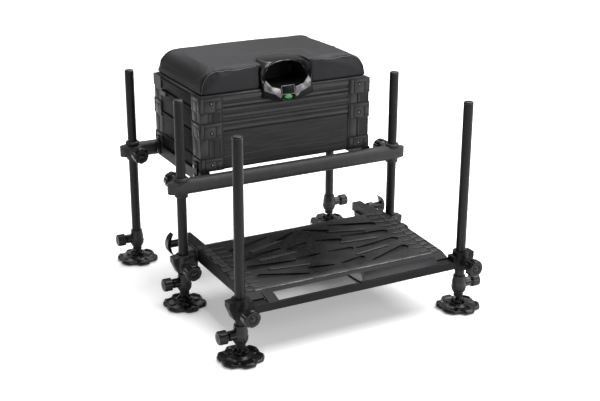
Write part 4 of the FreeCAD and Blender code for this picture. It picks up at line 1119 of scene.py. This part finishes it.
deck = joined([deck] + bars + [skirt], "tread_deck")
deck_place = (Matrix.Translation((0, deck_rear - 0.0004, top_rear))
              @ Matrix.Rotation(deck_fall, 4, "X"))
deck.data.transform(deck_place)
smooth(deck, 30)
paint(deck, tread_finish)
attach(deck, "footplate")
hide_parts("footplate_deck")

# Side rail treads.
# Short stepped plates in charcoal plastic, moulded in a row along the top of each side rail, beside
# the tread plate.
step_count = 12
step_long = deck_length / step_count
step_gap = 0.004
step_sink = 0.0012
flat = Matrix.Rotation(math.radians(-90), 4, "X")
parts = []
for step in range(step_count):
    reach = 0.020 if step % 2 else 0.026
    plate = slab("step_form", reach, step_long - step_gap, 0.0016, 0.0006)
    for hand in (-1, 1):
        x = hand * (deck_half + 0.001 + reach / 2)
        spot = Matrix.Translation((x, -step_long * (step + 0.5), -step_sink))
        parts.append(copy_of(plate, "part", spot @ flat))
    discard(plate)
steps = joined(parts, "rail_treads")
steps.data.transform(deck_place)
paint(steps, edge_finish)
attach(steps, "footplate")

# Front nosing.
# A thin metal strip along the knee of the footplate, painted bright as a painted highlight on the
# edge.
nosing_finish, shader, here = new_finish("nosing_painted_highlight")
streaks_and_painted_sheen = noise_at(here, 35.0, 4.0, 0.7, (1, 4, 4)).step(0.35, 0.65)
# Painted highlight: the strip's bright tone stands for the light line along the knee, with random
# streaks.
feed(shader, Base_Color=streaks_and_painted_sheen.mix((0.03, 0.03, 0.032), (0.26, 0.26, 0.265)),
     Roughness=0.3 + streaks_and_painted_sheen * 0.1, Normal=bump(streaks_and_painted_sheen, 0.1, 0.0002),
     Metallic=0.6)
nosing = slab("front_nosing", 2 * deck_half, 0.0024, 0.0018, 0.0007)
nosing.data.transform(Matrix.Translation((0, deck_front + 0.0004, top_rear - 0.0140 - 0.0010)))
paint(nosing, nosing_finish)
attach(nosing, "footplate")

# Kick strips.
# Two lengths of brushed metal strip set into the sloping front of the footplate, with a raised
# wedge between them. The left strip is bare and bright, the right one anodised a dark bluish grey.
kick_fall = math.atan(13 / 53)
kick_knee = Vector((0, deck_front, 0.150))
strip_tall = 0.0335
strip_drop = 0.0355
bright_finish, shader, here = new_finish("bright_brushed_strip")
across = here.axis("X")
brush = noise_at(here, 40.0, 4.0, 0.7, (1, 30, 30))
blotch = noise_at(here, 22.0, 3.0, 0.6)
# Painted sheen: the bright strip grows lighter towards its left end.
painted_sheen_to_left = 1.0 - across.step(-0.23, -0.06)
tone = (brush * 0.4 + blotch * 0.25 + painted_sheen_to_left * 0.35).step(0.25, 0.75)
feed(shader, Base_Color=tone.mix((0.050, 0.050, 0.051), (0.165, 0.165, 0.166)),
     Roughness=0.40 + brush * 0.2, Normal=bump(brush, 0.15, 0.0002),
     Metallic=0.6, Specular_IOR_Level=0.3)
blue_finish, shader, here = new_finish("bluish_anodised_strip")
brush = noise_at(here, 40.0, 4.0, 0.7, (1, 30, 30))
blotch = noise_at(here, 26.0, 4.0, 0.65).step(0.3, 0.7)
tint = (brush * 0.5 + blotch * 0.5).mix((0.004, 0.0043, 0.0056), (0.011, 0.0116, 0.0145))
feed(shader, Base_Color=tint,
     Roughness=0.36 + brush * 0.2, Normal=bump(brush, 0.15, 0.0002),
     Metallic=0.5, Specular_IOR_Level=0.25)


def on_kick(x, drop):
    """Carry a form built towards -Y onto the sloping front, at a distance below its knee."""
    spot = kick_knee + Vector((x, -drop * math.cos(kick_fall), -drop * math.sin(kick_fall)))
    return Matrix.Translation(spot) @ Matrix.Rotation(kick_fall - math.radians(90), 4, "X")


bright = slab("bright_strip", 0.2085, strip_tall, 0.0015, 0.0004)
for vertex in bright.data.vertices:
    if vertex.co.x > 0:
        vertex.co.x -= 0.25 * vertex.co.z
bright.data.transform(on_kick(-0.1118, strip_drop))
blue = slab("blue_strip", 0.216, strip_tall, 0.0015, 0.0004)
for vertex in blue.data.vertices:
    vertex.co.x += (0.6 if vertex.co.x < 0 else 0.2) * vertex.co.z
blue.data.transform(on_kick(0.136, strip_drop))
wedge = slab("strip_wedge", 0.036, strip_tall + 0.003, 0.0032, 0.0006)
for vertex in wedge.data.vertices:
    vertex.co.x *= 0.62 + 22 * vertex.co.z
wedge.data.transform(on_kick(0.0115, strip_drop - 0.001))
for piece, look in ((bright, bright_finish), (blue, blue_finish), (wedge, casting_finish)):
    paint(piece, look)
    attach(piece, "footplate")
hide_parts("kick_strips")
